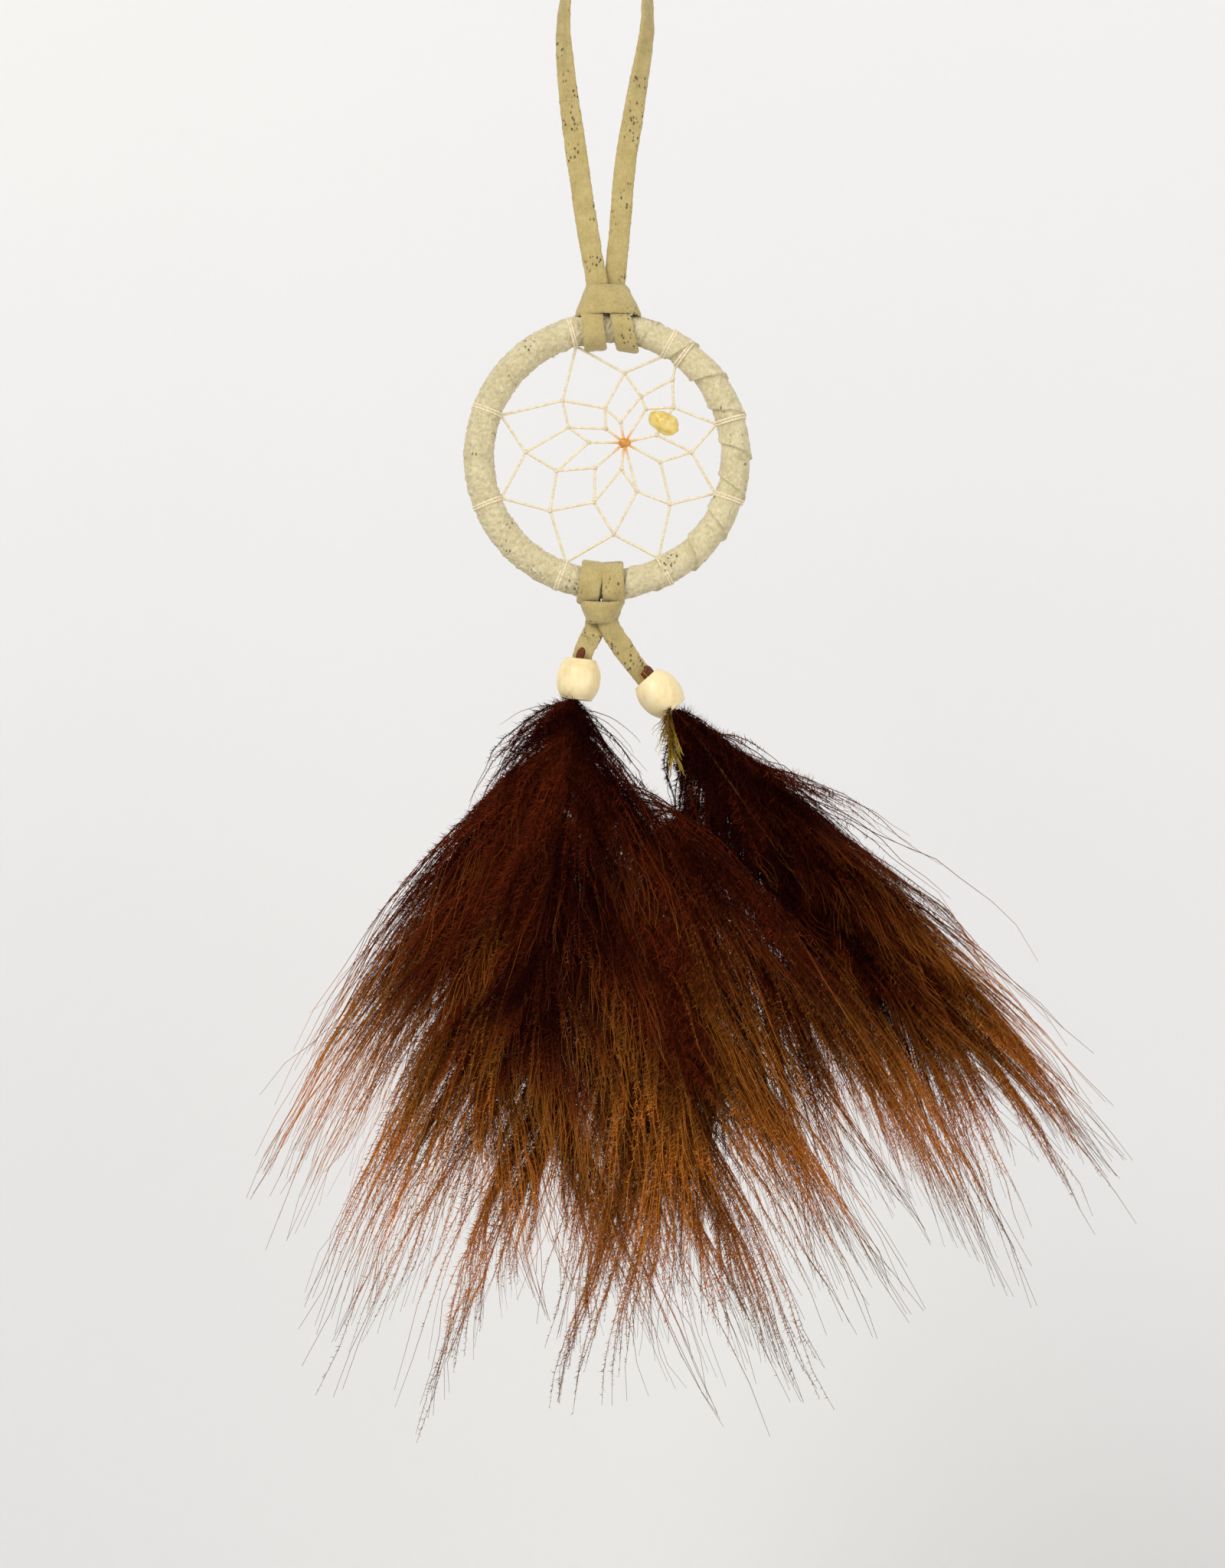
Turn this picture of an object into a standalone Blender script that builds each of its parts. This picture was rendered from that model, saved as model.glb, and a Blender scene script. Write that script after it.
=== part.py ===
"""Dream catcher hanging from its lace loop: a ring wrapped in suede lace, a knotted thread web with
a threaded stone chip, and two lace tails that each carry a wooden bead and a bunch of feathers.

Metres, +Z up, front towards -Y. The origin is the inside top of the hanging loop, where it rests
on its hook. The ring's plane is y = 0.
"""

from math import asin, atan2, cos, pi, radians, sin, sqrt, tan

import bmesh
import bpy
from mathutils import Vector, noise

# Hoop
RING_RADIUS = 0.0289  # centre of the hoop to the middle of its tube
WRAP_RADIUS = 0.00335  # of the tube, with its suede wrap
LACE_THICKNESS = 0.0012
LACE_WIDTH = 0.0048
HANG_DROP = 0.1165  # from the hook down to the hoop's centre
SEAM_GAP = 0.0009  # between the two tucked ends of the wrap, under the hanger's knot
FIT_GAP = 0.0003  # between pieces that touch
KNOT_CLEARANCE = 0.0006  # between the wrap and the lace bands that turn on it

# Web
THREAD_RADIUS = 0.0003
KNOT_RADIUS = 0.00048
HUB_RADIUS = 0.0011

# Knots
BAND_WIDTH = 0.0053  # one lace band where it goes round the hoop, spread by the pull
BAND_SPACE = 0.0002  # between the two bands
HANGER_KNOT_SHIFT = -0.0002  # where the two bands meet, sideways from the hoop's middle
TAIL_KNOT_SHIFT = -0.0012
HANGER_KNOT_HEIGHT = 0.0052  # of the lace's cross band above the hoop
TAIL_KNOT_HEIGHT = 0.0038
HANGER_KNOT_HALF_TOP = 0.0042  # half the width of the cross band's outer edge
TAIL_KNOT_HALF_FOOT = 0.0030
KNOT_DEPTH = 0.0056
KNOT_ROUNDING = 0.0008

# Beads
BEAD_RADIUS = 0.0049
BEAD_END_RADIUS = 0.0036
BEAD_BORE_RADIUS = 0.00275
BEAD_HEIGHT = 0.0087

# Feathers
QUILL_HALF_WIDTH = 0.00045
VANE_THICKNESS = 0.00035
LAYER_STEP = 0.0006  # from one feather's quill to the next, front to back
QUILL_TIP = 0.0019  # how far the front quill stands out above its bead
SECOND_TIP = 0.35  # how much shorter the second one is, as a share of the first
BARE_QUILL = 0.004  # from the bead's lower end to where the vane starts to widen

# Stone chip
CHIP_HALF_LENGTH = 0.0023
CHIP_HALF_WIDTH = 0.0032
CHIP_HALF_DEPTH = 0.0021
CHIP_BORE_RADIUS = 0.00055
CHIP_PLACE = 0.57  # how far along its stretch of thread it sits
CHIP_LUMP = 0.12  # how uneven its surface is, as a share of its size

HOOP_CENTRE = Vector((0, 0, -HANG_DROP))
HOLE_RADIUS = RING_RADIUS - WRAP_RADIUS
BAND_BORE = WRAP_RADIUS + KNOT_CLEARANCE
UP = Vector((0, 0, 1))
DEPTH = Vector((0, 1, 0))

for old in list(bpy.data.objects):
    bpy.data.objects.remove(old)

parts = bpy.data.collections.new("dream_catcher")
cutters = bpy.data.collections.new("cutters")
for group in (parts, cutters):
    bpy.context.scene.collection.children.link(group)


def material(name, colour, roughness, metallic=0.0):
    made = bpy.data.materials.new(name)
    made.use_nodes = True
    shader = made.node_tree.nodes["Principled BSDF"]
    shader.inputs["Base Color"].default_value = (*colour, 1)
    shader.inputs["Roughness"].default_value = roughness
    shader.inputs["Metallic"].default_value = metallic
    return made


SUEDE_WRAP = material("cream_suede", (0.66, 0.60, 0.44), 0.95)
SUEDE_LACE = material("tan_suede", (0.56, 0.47, 0.27), 0.95)
RING_WIRE = material("ring_wire", (0.62, 0.62, 0.63), 0.35, 1.0)
THREAD = material("waxed_thread", (0.78, 0.68, 0.50), 0.6)
CHIP_STONE = material("yellow_stone", (0.86, 0.62, 0.14), 0.25)
BEAD_WOOD = material("bead_wood", (0.88, 0.76, 0.50), 0.5)
FEATHER = material("brown_feather", (0.13, 0.035, 0.015), 0.8)


def add_object(name, mesh, finish, collection=None):
    made = bpy.data.objects.new(name, mesh)
    (collection or parts).objects.link(made)
    mesh.materials.append(finish)
    mesh.shade_smooth()
    mesh.set_sharp_from_angle(angle=radians(40))
    return made


def add_helper(name, mesh):
    """An object that only cuts or joins another one."""
    helper = bpy.data.objects.new(name, mesh)
    cutters.objects.link(helper)
    helper.hide_render = True
    helper.display_type = "WIRE"
    return helper


def join_all(body, helpers):
    """Unites the helpers with the body in one closed solid."""
    group = bpy.data.collections.new(body.name + "_pieces")
    cutters.children.link(group)
    for helper in helpers:
        cutters.objects.unlink(helper)
        group.objects.link(helper)
    union = body.modifiers.new("join", "BOOLEAN")
    union.operation = "UNION"
    union.operand_type = "COLLECTION"
    union.collection = group
    union.solver = "EXACT"


def mesh_from(name, build):
    """A mesh made by build, a function that fills a bmesh."""
    work = bmesh.new()
    build(work)
    mesh = bpy.data.meshes.new(name)
    work.to_mesh(mesh)
    work.free()
    return mesh


# Straps, laces and feathers: a ribbon along a spine, given its thickness by Solidify


def smooth_route(points, per_span):
    """Points of a smooth curve through the route's own points."""
    ends = [2 * points[0] - points[1], *points, 2 * points[-1] - points[-2]]
    route = []
    for i in range(len(points) - 1):
        a, b, c, d = ends[i : i + 4]
        for k in range(per_span):
            t = k / per_span
            route.append(
                0.5
                * (
                    2 * b
                    + (c - a) * t
                    + (2 * a - 5 * b + 4 * c - d) * t**2
                    + (3 * b - a - 3 * c + d) * t**3
                )
            )
    return route + [points[-1]]


def tangents(spine):
    last = len(spine) - 1
    return [(spine[min(i + 1, last)] - spine[max(i - 1, 0)]).normalized() for i in range(len(spine))]


def add_ribbon(name, spine, half_widths, thickness, finish, twists=None):
    """twists are the angles between the ribbon's width and the plane of the front, one a point."""

    def build(work):
        rows = []
        for i, (point, along) in enumerate(zip(spine, tangents(spine))):
            in_plane = DEPTH.cross(along).normalized()
            twist = twists[i] if twists else 0.0
            across = in_plane * cos(twist) + in_plane.cross(along) * sin(twist)
            reach = across * half_widths[i]
            rows.append([work.verts.new(point - reach), work.verts.new(point + reach)])
        for (a, b), (c, d) in zip(rows, rows[1:]):
            work.faces.new((a, b, d, c))

    ribbon = add_object(name, mesh_from(name, build), finish)
    wall = ribbon.modifiers.new("thickness", "SOLIDIFY")
    wall.thickness = thickness
    wall.offset = 0
    return ribbon


# Hoop: a wire ring, and the suede lace wound round it


def add_tube_sector(name, radius, wall, start, end, steps, finish, collection=None):
    """A pipe bent along the hoop from one angle to another, in radians up from +X. The wall grows
    outwards from the radius, and inwards where it is negative."""
    sides = 16

    def build(work):
        ring = [
            work.verts.new((RING_RADIUS + radius * cos(a), radius * sin(a), 0))
            for a in (2 * pi * k / sides for k in range(sides))
        ]
        for first, second in zip(ring, ring[1:] + ring[:1]):
            work.edges.new((first, second))

    mesh = mesh_from(name, build)
    pipe = add_object(name, mesh, finish, collection)
    pipe.location = HOOP_CENTRE
    pipe.rotation_euler.y = -start
    turn = pipe.modifiers.new("bend", "SCREW")
    turn.axis = "Y"
    turn.angle = start - end
    turn.steps = turn.render_steps = steps
    turn.use_merge_vertices = False
    shell = pipe.modifiers.new("wall", "SOLIDIFY")
    shell.thickness = abs(wall)
    shell.offset = 1 if wall > 0 else -1
    return pipe


bpy.ops.mesh.primitive_torus_add(
    major_radius=RING_RADIUS,
    minor_radius=WRAP_RADIUS - LACE_THICKNESS - FIT_GAP,
    major_segments=48,
    minor_segments=8,
    location=HOOP_CENTRE,
    rotation=(pi / 2, 0, 0),
)
ring_core = bpy.context.object
ring_core.name = "ring_core"
for holder in list(ring_core.users_collection):
    holder.objects.unlink(ring_core)
parts.objects.link(ring_core)
ring_core.data.materials.append(RING_WIRE)
ring_core.data.shade_smooth()

seam = SEAM_GAP / 2 / RING_RADIUS
add_tube_sector(
    "hoop_wrap", WRAP_RADIUS, -LACE_THICKNESS, pi / 2 + seam, 5 * pi / 2 - seam, 48, SUEDE_WRAP
)

# Web: hitches round the hoop, and thread drawn between knots. Each knot is a share of the hole's
# radius and an angle in degrees up from +X. The web's middle lies up and right of the hoop's.

HITCHES = (105.8, 61.0, 53.0, 16.3, -19.1, -63.3, -111.2, -158.4, 159.0)
OUTER_KNOTS = (
    (0.749, 78.2),
    (0.726, 36.4),
    (0.746, 2.7),
    (0.700, -37.3),
    (0.693, -85.1),
    (0.696, -136.1),
    (0.718, 177.2),
    (0.628, 128.7),
)
MIDDLE_KNOTS = {
    "start": (0.887, 49.5),
    "top_right": (0.604, 60.4),
    "above_chip": (0.538, 50.6),
    "below_chip": (0.474, 23.4),
    "right": (0.473, -6.2),
    "low_right": (0.406, -49.7),
    "low_left": (0.420, -105.7),
    "left": (0.462, -163.7),
    "top_left": (0.426, 143.2),
    "top": (0.424, 92.7),
}
INNER_KNOTS = {
    "inner_low": (0.169, -42.2),
    "inner_low_left": (0.147, -136.1),
    "inner_left": (0.202, 142.9),
    "inner_top": (0.243, 92.8),
    "inner_top_right": (0.324, 68.7),
    "hub": (0.193, 37.6),
}
MIDDLE_LINKS = (
    ("outer_8", "top", "outer_1", "top_right", "start"),
    ("top_right", "above_chip", "outer_2", "below_chip", "outer_3", "right", "outer_4"),
    ("outer_4", "low_right", "outer_5", "low_left", "outer_6", "left", "outer_7"),
    ("outer_7", "top_left", "outer_8"),
)
INNER_LINKS = (
    ("top_right", "inner_top_right", "top", "inner_top", "top_left", "inner_left", "left"),
    ("left", "inner_low_left", "low_left", "inner_low", "low_right", "hub"),
    ("above_chip", "hub", "below_chip"),
    ("right", "hub", "inner_low"),
    ("inner_low_left", "hub", "inner_left"),
    ("inner_top", "hub", "inner_top_right"),
)


def on_hoop(share, angle):
    """A place in the hoop's plane, by its share of the hole's radius and its angle in degrees."""
    turn = radians(angle)
    return HOOP_CENTRE + Vector((cos(turn), 0, sin(turn))) * share * HOLE_RADIUS


hitch_ring = WRAP_RADIUS + FIT_GAP + THREAD_RADIUS  # from the tube's middle to the thread's
hitch_share = (RING_RADIUS - hitch_ring) / HOLE_RADIUS
knots = {f"outer_{i + 1}": on_hoop(*place) for i, place in enumerate(OUTER_KNOTS)}
knots.update({name: on_hoop(*place) for name, place in {**MIDDLE_KNOTS, **INNER_KNOTS}.items()})
hitches = [on_hoop(hitch_share, angle) for angle in HITCHES]


def web_runs():
    """Each straight stretch of thread, as its two ends."""
    runs = []
    # The second and third hitches are one loop round the hoop, so nothing hangs between them.
    spans = [(0, 1), (2, 3), (3, 4), (4, 5), (5, 6), (6, 7), (7, 8), (8, 0)]
    for number, (first, second) in enumerate(spans, start=1):
        middle = [knots[f"outer_{number}"]]
        if number == 2:
            middle.insert(0, knots["start"])
        chain = [hitches[first], *middle, hitches[second]]
        runs += list(zip(chain, chain[1:]))
    for chain in MIDDLE_LINKS + INNER_LINKS:
        places = [knots[name] for name in chain]
        runs += list(zip(places, places[1:]))
    return runs


def thread_run(start, end):
    def build(work):
        bmesh.ops.create_cone(
            work,
            cap_ends=True,
            segments=5,
            radius1=THREAD_RADIUS,
            radius2=THREAD_RADIUS,
            depth=(end - start).length,
        )

    run = add_helper("thread_run", mesh_from("thread_run", build))
    run.rotation_mode = "QUATERNION"
    run.rotation_quaternion = UP.rotation_difference(end - start)
    run.location = (start + end) / 2
    return run


def thread_knot(place, radius):
    def build(work):
        bmesh.ops.create_icosphere(work, subdivisions=1, radius=radius)

    knot = add_helper("thread_knot", mesh_from("thread_knot", build))
    knot.location = place
    return knot


def thread_hitch(angle):
    """The thread's turn round the hoop."""
    bpy.ops.mesh.primitive_torus_add(
        major_radius=hitch_ring, minor_radius=THREAD_RADIUS, major_segments=14, minor_segments=5
    )
    hitch = bpy.context.object
    mesh = hitch.data
    bpy.data.objects.remove(hitch)
    turn = add_helper("thread_hitch", mesh)
    out = Vector((cos(radians(angle)), 0, sin(radians(angle))))
    turn.location = HOOP_CENTRE + out * RING_RADIUS
    turn.rotation_mode = "QUATERNION"
    turn.rotation_quaternion = UP.rotation_difference(out.cross(DEPTH))
    return turn


def web_hub(work):
    bmesh.ops.create_icosphere(work, subdivisions=2, radius=HUB_RADIUS)


web = add_object("web_thread", mesh_from("web_thread", web_hub), THREAD)
web.location = knots["hub"]
web_pieces = [thread_run(*ends) for ends in web_runs()]
web_pieces += [thread_knot(place, KNOT_RADIUS) for name, place in knots.items() if name != "hub"]
web_pieces += [thread_knot(place, KNOT_RADIUS) for place in hitches]
web_pieces += [thread_hitch(angle) for angle in HITCHES]
join_all(web, web_pieces)

# Stone chip: tumbled flat, drilled through, free to turn on its stretch of thread

chip_run = knots["below_chip"] - knots["outer_2"]
chip_axis = chip_run.normalized()
chip_place = knots["outer_2"] + chip_run * CHIP_PLACE


def chip_body(work):
    bmesh.ops.create_icosphere(work, subdivisions=2, radius=1)
    for point in work.verts:
        lump = 1 + CHIP_LUMP * noise.noise(point.co * 1.7 + Vector((3.0, 1.0, 2.0)))
        size = Vector((CHIP_HALF_WIDTH, CHIP_HALF_DEPTH, CHIP_HALF_LENGTH))
        point.co = point.co * size * lump


def chip_drill(work):
    bmesh.ops.create_cone(
        work,
        cap_ends=True,
        segments=10,
        radius1=CHIP_BORE_RADIUS,
        radius2=CHIP_BORE_RADIUS,
        depth=4 * CHIP_HALF_LENGTH,
    )


chip = add_object("stone_chip", mesh_from("stone_chip", chip_body), CHIP_STONE)
drill = add_helper("chip_drill", mesh_from("chip_drill", chip_drill))
for turned in (chip, drill):
    turned.location = chip_place
    turned.rotation_euler.y = atan2(chip_axis.x, chip_axis.z)
hole = chip.modifiers.new("hole", "BOOLEAN")
hole.operation = "DIFFERENCE"
hole.object = drill

# Knots: a lark's head on the hoop's top for the hanger, and one on its bottom for the tails. Each
# is two bands round the tube and the cross band that holds them, one solid.


def add_larks_head(name, middle, side, height, far_half_width):
    """side is 1 above the hoop and -1 below it. middle is where the bands meet, sideways."""
    first = middle - BAND_SPACE / 2 - BAND_WIDTH
    second = middle + BAND_SPACE / 2

    def angle(x):
        return side * (pi / 2 - asin(x / RING_RADIUS))

    def cross_band(work):
        bmesh.ops.create_cube(work, size=1)
        near = RING_RADIUS + BAND_BORE + LACE_THICKNESS / 2
        for point in work.verts:
            is_far = point.co.z > 0
            half = far_half_width if is_far else BAND_WIDTH + LACE_THICKNESS / 2
            point.co.x = middle + (half if point.co.x > 0 else -half)
            point.co.y *= KNOT_DEPTH
            point.co.z = side * (near + (height if is_far else 0))
        bmesh.ops.recalc_face_normals(work, faces=work.faces)

    body = add_object(name, mesh_from(name, cross_band), SUEDE_LACE)
    body.location = HOOP_CENTRE
    rounded = body.modifiers.new("rounded", "BEVEL")
    rounded.width = KNOT_ROUNDING
    rounded.segments = 2
    bands = []
    for start in (first, second):
        ends = sorted((angle(start), angle(start + BAND_WIDTH)))
        band = add_tube_sector(
            name + "_band", BAND_BORE, LACE_THICKNESS, *ends, 3, SUEDE_LACE, cutters
        )
        band.hide_render = True
        band.display_type = "WIRE"
        bands.append(band)
    join_all(body, bands)
    return side * (RING_RADIUS + BAND_BORE + LACE_THICKNESS / 2 + height)


hanger_knot_top = add_larks_head(
    "hanger_knot", HANGER_KNOT_SHIFT, 1, HANGER_KNOT_HEIGHT, HANGER_KNOT_HALF_TOP
)
tail_knot_foot = add_larks_head(
    "tail_knot", TAIL_KNOT_SHIFT, -1, TAIL_KNOT_HEIGHT, TAIL_KNOT_HALF_FOOT
)

# Hanger: one lace, up from the knot, over the hook and back. It lies flat to the front at the
# knot and has turned a quarter where it passes over the hook.

STRAP_OFFSET = LACE_THICKNESS / 2 + FIT_GAP / 2  # the left strap lies in front of the right one
loop_foot = HOOP_CENTRE.z + hanger_knot_top + FIT_GAP
first_bend = loop_foot + 0.01305  # the straps rise straight from the knot up to here
LOOP_ROUTE = [
    Vector((-0.0023, -STRAP_OFFSET, loop_foot)),
    Vector((-0.0046, -0.0008, first_bend)),
    Vector((-0.0067, -0.0006, -0.0500)),
    Vector((-0.0090, -0.0003, -0.0330)),
    Vector((-0.0098, 0, -0.0180)),
    Vector((-0.0072, 0, -0.0052)),
    Vector((0, 0, LACE_THICKNESS / 2)),
    Vector((0.0072, 0, -0.0052)),
    Vector((0.0091, 0, -0.0180)),
    Vector((0.0070, 0.0003, -0.0330)),
    Vector((0.0042, 0.0006, -0.0500)),
    Vector((0.0029, 0.0008, first_bend)),
    Vector((0.0017, STRAP_OFFSET, loop_foot)),
]
loop_spine = smooth_route(LOOP_ROUTE, 4)
FLAT_BELOW = -0.050  # the strap lies flat to the front up to here
quarter = [
    pi / 2 * min(1, max(0, (point.z - FLAT_BELOW) / -FLAT_BELOW)) for point in loop_spine
]
add_ribbon(
    "hanger_loop", loop_spine, [LACE_WIDTH / 2] * len(loop_spine), LACE_THICKNESS, SUEDE_LACE, quarter
)

# Tails: on each side a lace from the knot into a bead, the bead, and the feathers that it holds.
# Angles are degrees from straight down, positive to the right.

LACE_BEHIND = 0.0007  # the lace lies this far behind the middle of the bead's bore
BORE_CLEARANCE = 0.00022  # between the lace's edges and the bore that squeezes it
LACE_IN_BEAD = sqrt(BEAD_BORE_RADIUS**2 - (LACE_BEHIND + LACE_THICKNESS / 2) ** 2) - BORE_CLEARANCE
LACE_PAST_MIDDLE = -0.0006  # its end stops short of the bead's middle
LACE_SAG = 0.0004  # how far the lace bows out between knot and bead
SQUEEZE_LENGTH = 0.002  # over which the lace narrows towards the bead
BEAD_SLIDE = 0.003  # how far a bead can be pushed up its lace
BELOW_KNOT = 0.0009  # room for the laces' round upper ends to turn under the knot
SHORT_QUILL = -0.0004  # the quills behind the front two start below the bead's middle


def facing(angle):
    """The direction in the plane of the front at this angle from straight down."""
    return Vector((sin(radians(angle)), 0, -cos(radians(angle))))


def add_tail(side, knot_place, knot_depth, bead_place, bead_tilt):
    """The lace and its bead. Returns the bead's middle and the direction out of its lower end."""
    along = facing(bead_tilt)
    lace_end = bead_place + DEPTH * LACE_BEHIND + along * LACE_PAST_MIDDLE
    straight_from = lace_end - along * (BEAD_HEIGHT / 2 + BEAD_SLIDE)
    top = Vector((knot_place, knot_depth, HOOP_CENTRE.z + tail_knot_foot - BELOW_KNOT))
    halfway = (top + straight_from) / 2 + (facing(0) - along) * LACE_SAG
    spine = smooth_route([top, halfway, straight_from, lace_end], 5)
    start = spine[0]
    widths = []
    for point in spine:
        run = (point - start).length
        rounded = sqrt(max(0.0, 1 - (1 - min(1.0, run / (LACE_WIDTH / 2) + 0.04)) ** 2))
        squeezed = run - (straight_from - start).length + SQUEEZE_LENGTH
        near_bead = min(1.0, max(0.0, squeezed / SQUEEZE_LENGTH))
        full = LACE_WIDTH / 2 + (LACE_IN_BEAD - LACE_WIDTH / 2) * near_bead
        widths.append(full * rounded)
    add_ribbon(side + "_tail_lace", spine, widths, LACE_THICKNESS, SUEDE_LACE)

    def profile(work):
        """Down the barrel's outside, across its lower end, and up the bore."""
        stations = 7
        points = []
        for i in range(stations):
            share = 2 * i / (stations - 1) - 1
            radius = BEAD_RADIUS - (BEAD_RADIUS - BEAD_END_RADIUS) * abs(share) ** 2.4
            points.append(work.verts.new((radius, 0, -share * BEAD_HEIGHT / 2)))
        for height in (-BEAD_HEIGHT / 2, BEAD_HEIGHT / 2):
            points.append(work.verts.new((BEAD_BORE_RADIUS, 0, height)))
        for first, second in zip(points, points[1:] + points[:1]):
            work.edges.new((first, second))

    name = side + "_bead"
    bead = add_object(name, mesh_from(name, profile), BEAD_WOOD)
    bead.location = bead_place
    bead.rotation_euler.y = -radians(bead_tilt)
    turned = bead.modifiers.new("turned", "SCREW")
    turned.steps = turned.render_steps = 24
    turned.use_merge_vertices = True
    turned.merge_threshold = 0.00001
    return along


def add_feather(name, bead_place, bead_tilt, layer, lean, start, end, length, half_width, tip):
    """One feather: its quill through the bead, then a vane that widens and ends in a soft point.

    layer is its depth from the bore's middle, lean the slope towards the back as it goes down,
    and start and end are the directions of its shaft. tip is how far the quill reaches up
    from the bead's middle."""
    along = facing(bead_tilt)
    root = bead_place + DEPTH * layer
    spine = [root - along * tip, root + along * BEAD_HEIGHT / 2]
    widths = [QUILL_HALF_WIDTH, QUILL_HALF_WIDTH]
    stations = 14
    step = length / stations
    place = spine[-1]
    for i in range(1, stations + 1):
        share = i / stations
        bend = start + (end - start) * share**0.8
        bend += (bead_tilt - start) * max(0, 1 - share * 6)
        place = place + facing(bend) * step + DEPTH * tan(radians(lean)) * step
        spine.append(place)
        vane = max(0.0, share * length - BARE_QUILL) / (length - BARE_QUILL)
        widths.append(QUILL_HALF_WIDTH + half_width * max(0.0, sin(pi * vane**0.75)) ** 0.7)
    add_ribbon(name, spine, widths, VANE_THICKNESS, FEATHER)


# One row for each feather, front to back: the shaft's direction at its start and at its end in
# degrees, its length, and half the width of its vane.
LEFT_FEATHERS = (
    (-10, -2, 0.118, 0.014),
    (16, 26, 0.134, 0.015),
    (-32, -12, 0.120, 0.015),
    (36, 43, 0.116, 0.014),
    (-56, -22, 0.116, 0.014),
    (22, 12, 0.158, 0.016),
    (-14, 2, 0.148, 0.016),
)
RIGHT_FEATHERS = (
    (36, 33, 0.128, 0.014),
    (52, 38, 0.146, 0.015),
    (66, 26, 0.138, 0.014),
    (46, 40, 0.142, 0.014),
    (28, 24, 0.130, 0.015),
)
LEFT_BEAD = HOOP_CENTRE + Vector((-0.0064, -0.0029, tail_knot_foot - 0.01305))
RIGHT_BEAD = HOOP_CENTRE + Vector((0.0119, 0.0016, tail_knot_foot - 0.01625))
LEFT_TILT, RIGHT_TILT = -6, 42
LEFT_LEANS = (-0.6, -6.0)  # of the back feather and of the front one
RIGHT_LEANS = (0.6, 5.0)  # of the front feather and of the back one

add_tail("left", -0.0026, STRAP_OFFSET, LEFT_BEAD, LEFT_TILT)
add_tail("right", 0.0004, -STRAP_OFFSET, RIGHT_BEAD, RIGHT_TILT)


def add_bunch(side, rows, bead_place, bead_tilt, leans):
    """The feathers of one bead, in layers from front to back. The two front quills go all the way
    through the bead and stand out above it, and the others start below the lace's end."""
    count = len(rows)
    for i, row in enumerate(rows):
        layer = (i - (count - 1) / 2) * LAYER_STEP - LAYER_STEP / 6
        lean = leans[0] + (leans[1] - leans[0]) * i / (count - 1)
        through = BEAD_HEIGHT / 2 + QUILL_TIP * (1 - SECOND_TIP * i)
        tip = through if i < 2 else SHORT_QUILL
        add_feather(f"{side}_feather_{i + 1}", bead_place, bead_tilt, layer, lean, *row, tip)


add_bunch("left", LEFT_FEATHERS, LEFT_BEAD, LEFT_TILT, LEFT_LEANS[::-1])
add_bunch("right", RIGHT_FEATHERS, RIGHT_BEAD, RIGHT_TILT, RIGHT_LEANS)
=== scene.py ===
from math import asin, atan2, cos, pi, radians, sin, sqrt, tan

import bmesh
import bpy
from mathutils import Matrix, Vector, noise


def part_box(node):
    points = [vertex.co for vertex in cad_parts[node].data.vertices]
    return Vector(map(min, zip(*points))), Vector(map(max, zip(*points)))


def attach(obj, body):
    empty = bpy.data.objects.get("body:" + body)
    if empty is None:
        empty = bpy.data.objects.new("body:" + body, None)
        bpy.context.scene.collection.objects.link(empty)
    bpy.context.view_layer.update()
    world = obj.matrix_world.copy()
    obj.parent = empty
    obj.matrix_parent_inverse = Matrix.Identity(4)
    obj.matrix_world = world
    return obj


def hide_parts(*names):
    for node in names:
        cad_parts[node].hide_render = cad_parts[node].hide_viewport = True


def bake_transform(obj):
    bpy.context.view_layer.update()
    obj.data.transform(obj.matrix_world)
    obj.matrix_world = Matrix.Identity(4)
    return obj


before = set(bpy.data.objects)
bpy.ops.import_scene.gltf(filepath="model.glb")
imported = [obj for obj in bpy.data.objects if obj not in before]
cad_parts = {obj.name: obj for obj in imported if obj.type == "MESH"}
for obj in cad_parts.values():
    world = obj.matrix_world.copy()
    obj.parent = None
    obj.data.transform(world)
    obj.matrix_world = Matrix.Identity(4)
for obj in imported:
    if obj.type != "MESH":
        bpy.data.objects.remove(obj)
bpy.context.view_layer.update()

# Studio: the catcher hangs in front of a pale paper wall, over a pale floor that the view doesn't
# reach. A large soft light stands up to the left, a weaker one to the right, and pale air fills in.

hoop_low, hoop_high = (Vector(corner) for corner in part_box("hoop_wrap"))
HOOP_CENTRE = (hoop_low + hoop_high) / 2
WRAP_RADIUS = (hoop_high.y - hoop_low.y) / 2
RING_RADIUS = (hoop_high.x - hoop_low.x) / 2 - WRAP_RADIUS

VIEW_DISTANCE = 1.2
VIEW_HEIGHT = 0.353  # of what is seen at the hoop's distance
VIEW_CENTRE = HOOP_CENTRE + Vector((0.0012, 0, -0.0738))
SENSOR = 36.0
WALL_BEHIND = 0.26
FLOOR_BELOW = 0.30
PAPER = (0.80, 0.793, 0.772)
# greyer, slightly lilac paper, for painted shade
PAPER_PAINTED_SHADE = (0.775, 0.768, 0.768)


def connect(tree, socket, value):
    """Links a socket or a Field to another node's input, or sets the input to a plain value."""
    if isinstance(value, Field):
        value = value.socket
    if isinstance(value, bpy.types.NodeSocket):
        tree.links.new(value, socket)
    elif isinstance(value, (int, float)) and socket.type == "VECTOR":
        socket.default_value = (value, value, value)
    elif value is not None:
        socket.default_value = value


def add(tree, kind, inputs=None, **settings):
    """Adds one node. inputs maps the names or numbers of its inputs to values or other outputs."""
    node = tree.nodes.new(kind)
    for name, value in settings.items():
        setattr(node, name, value)
    for name, value in (inputs or {}).items():
        connect(tree, node.inputs[name], value)
    return node


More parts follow.
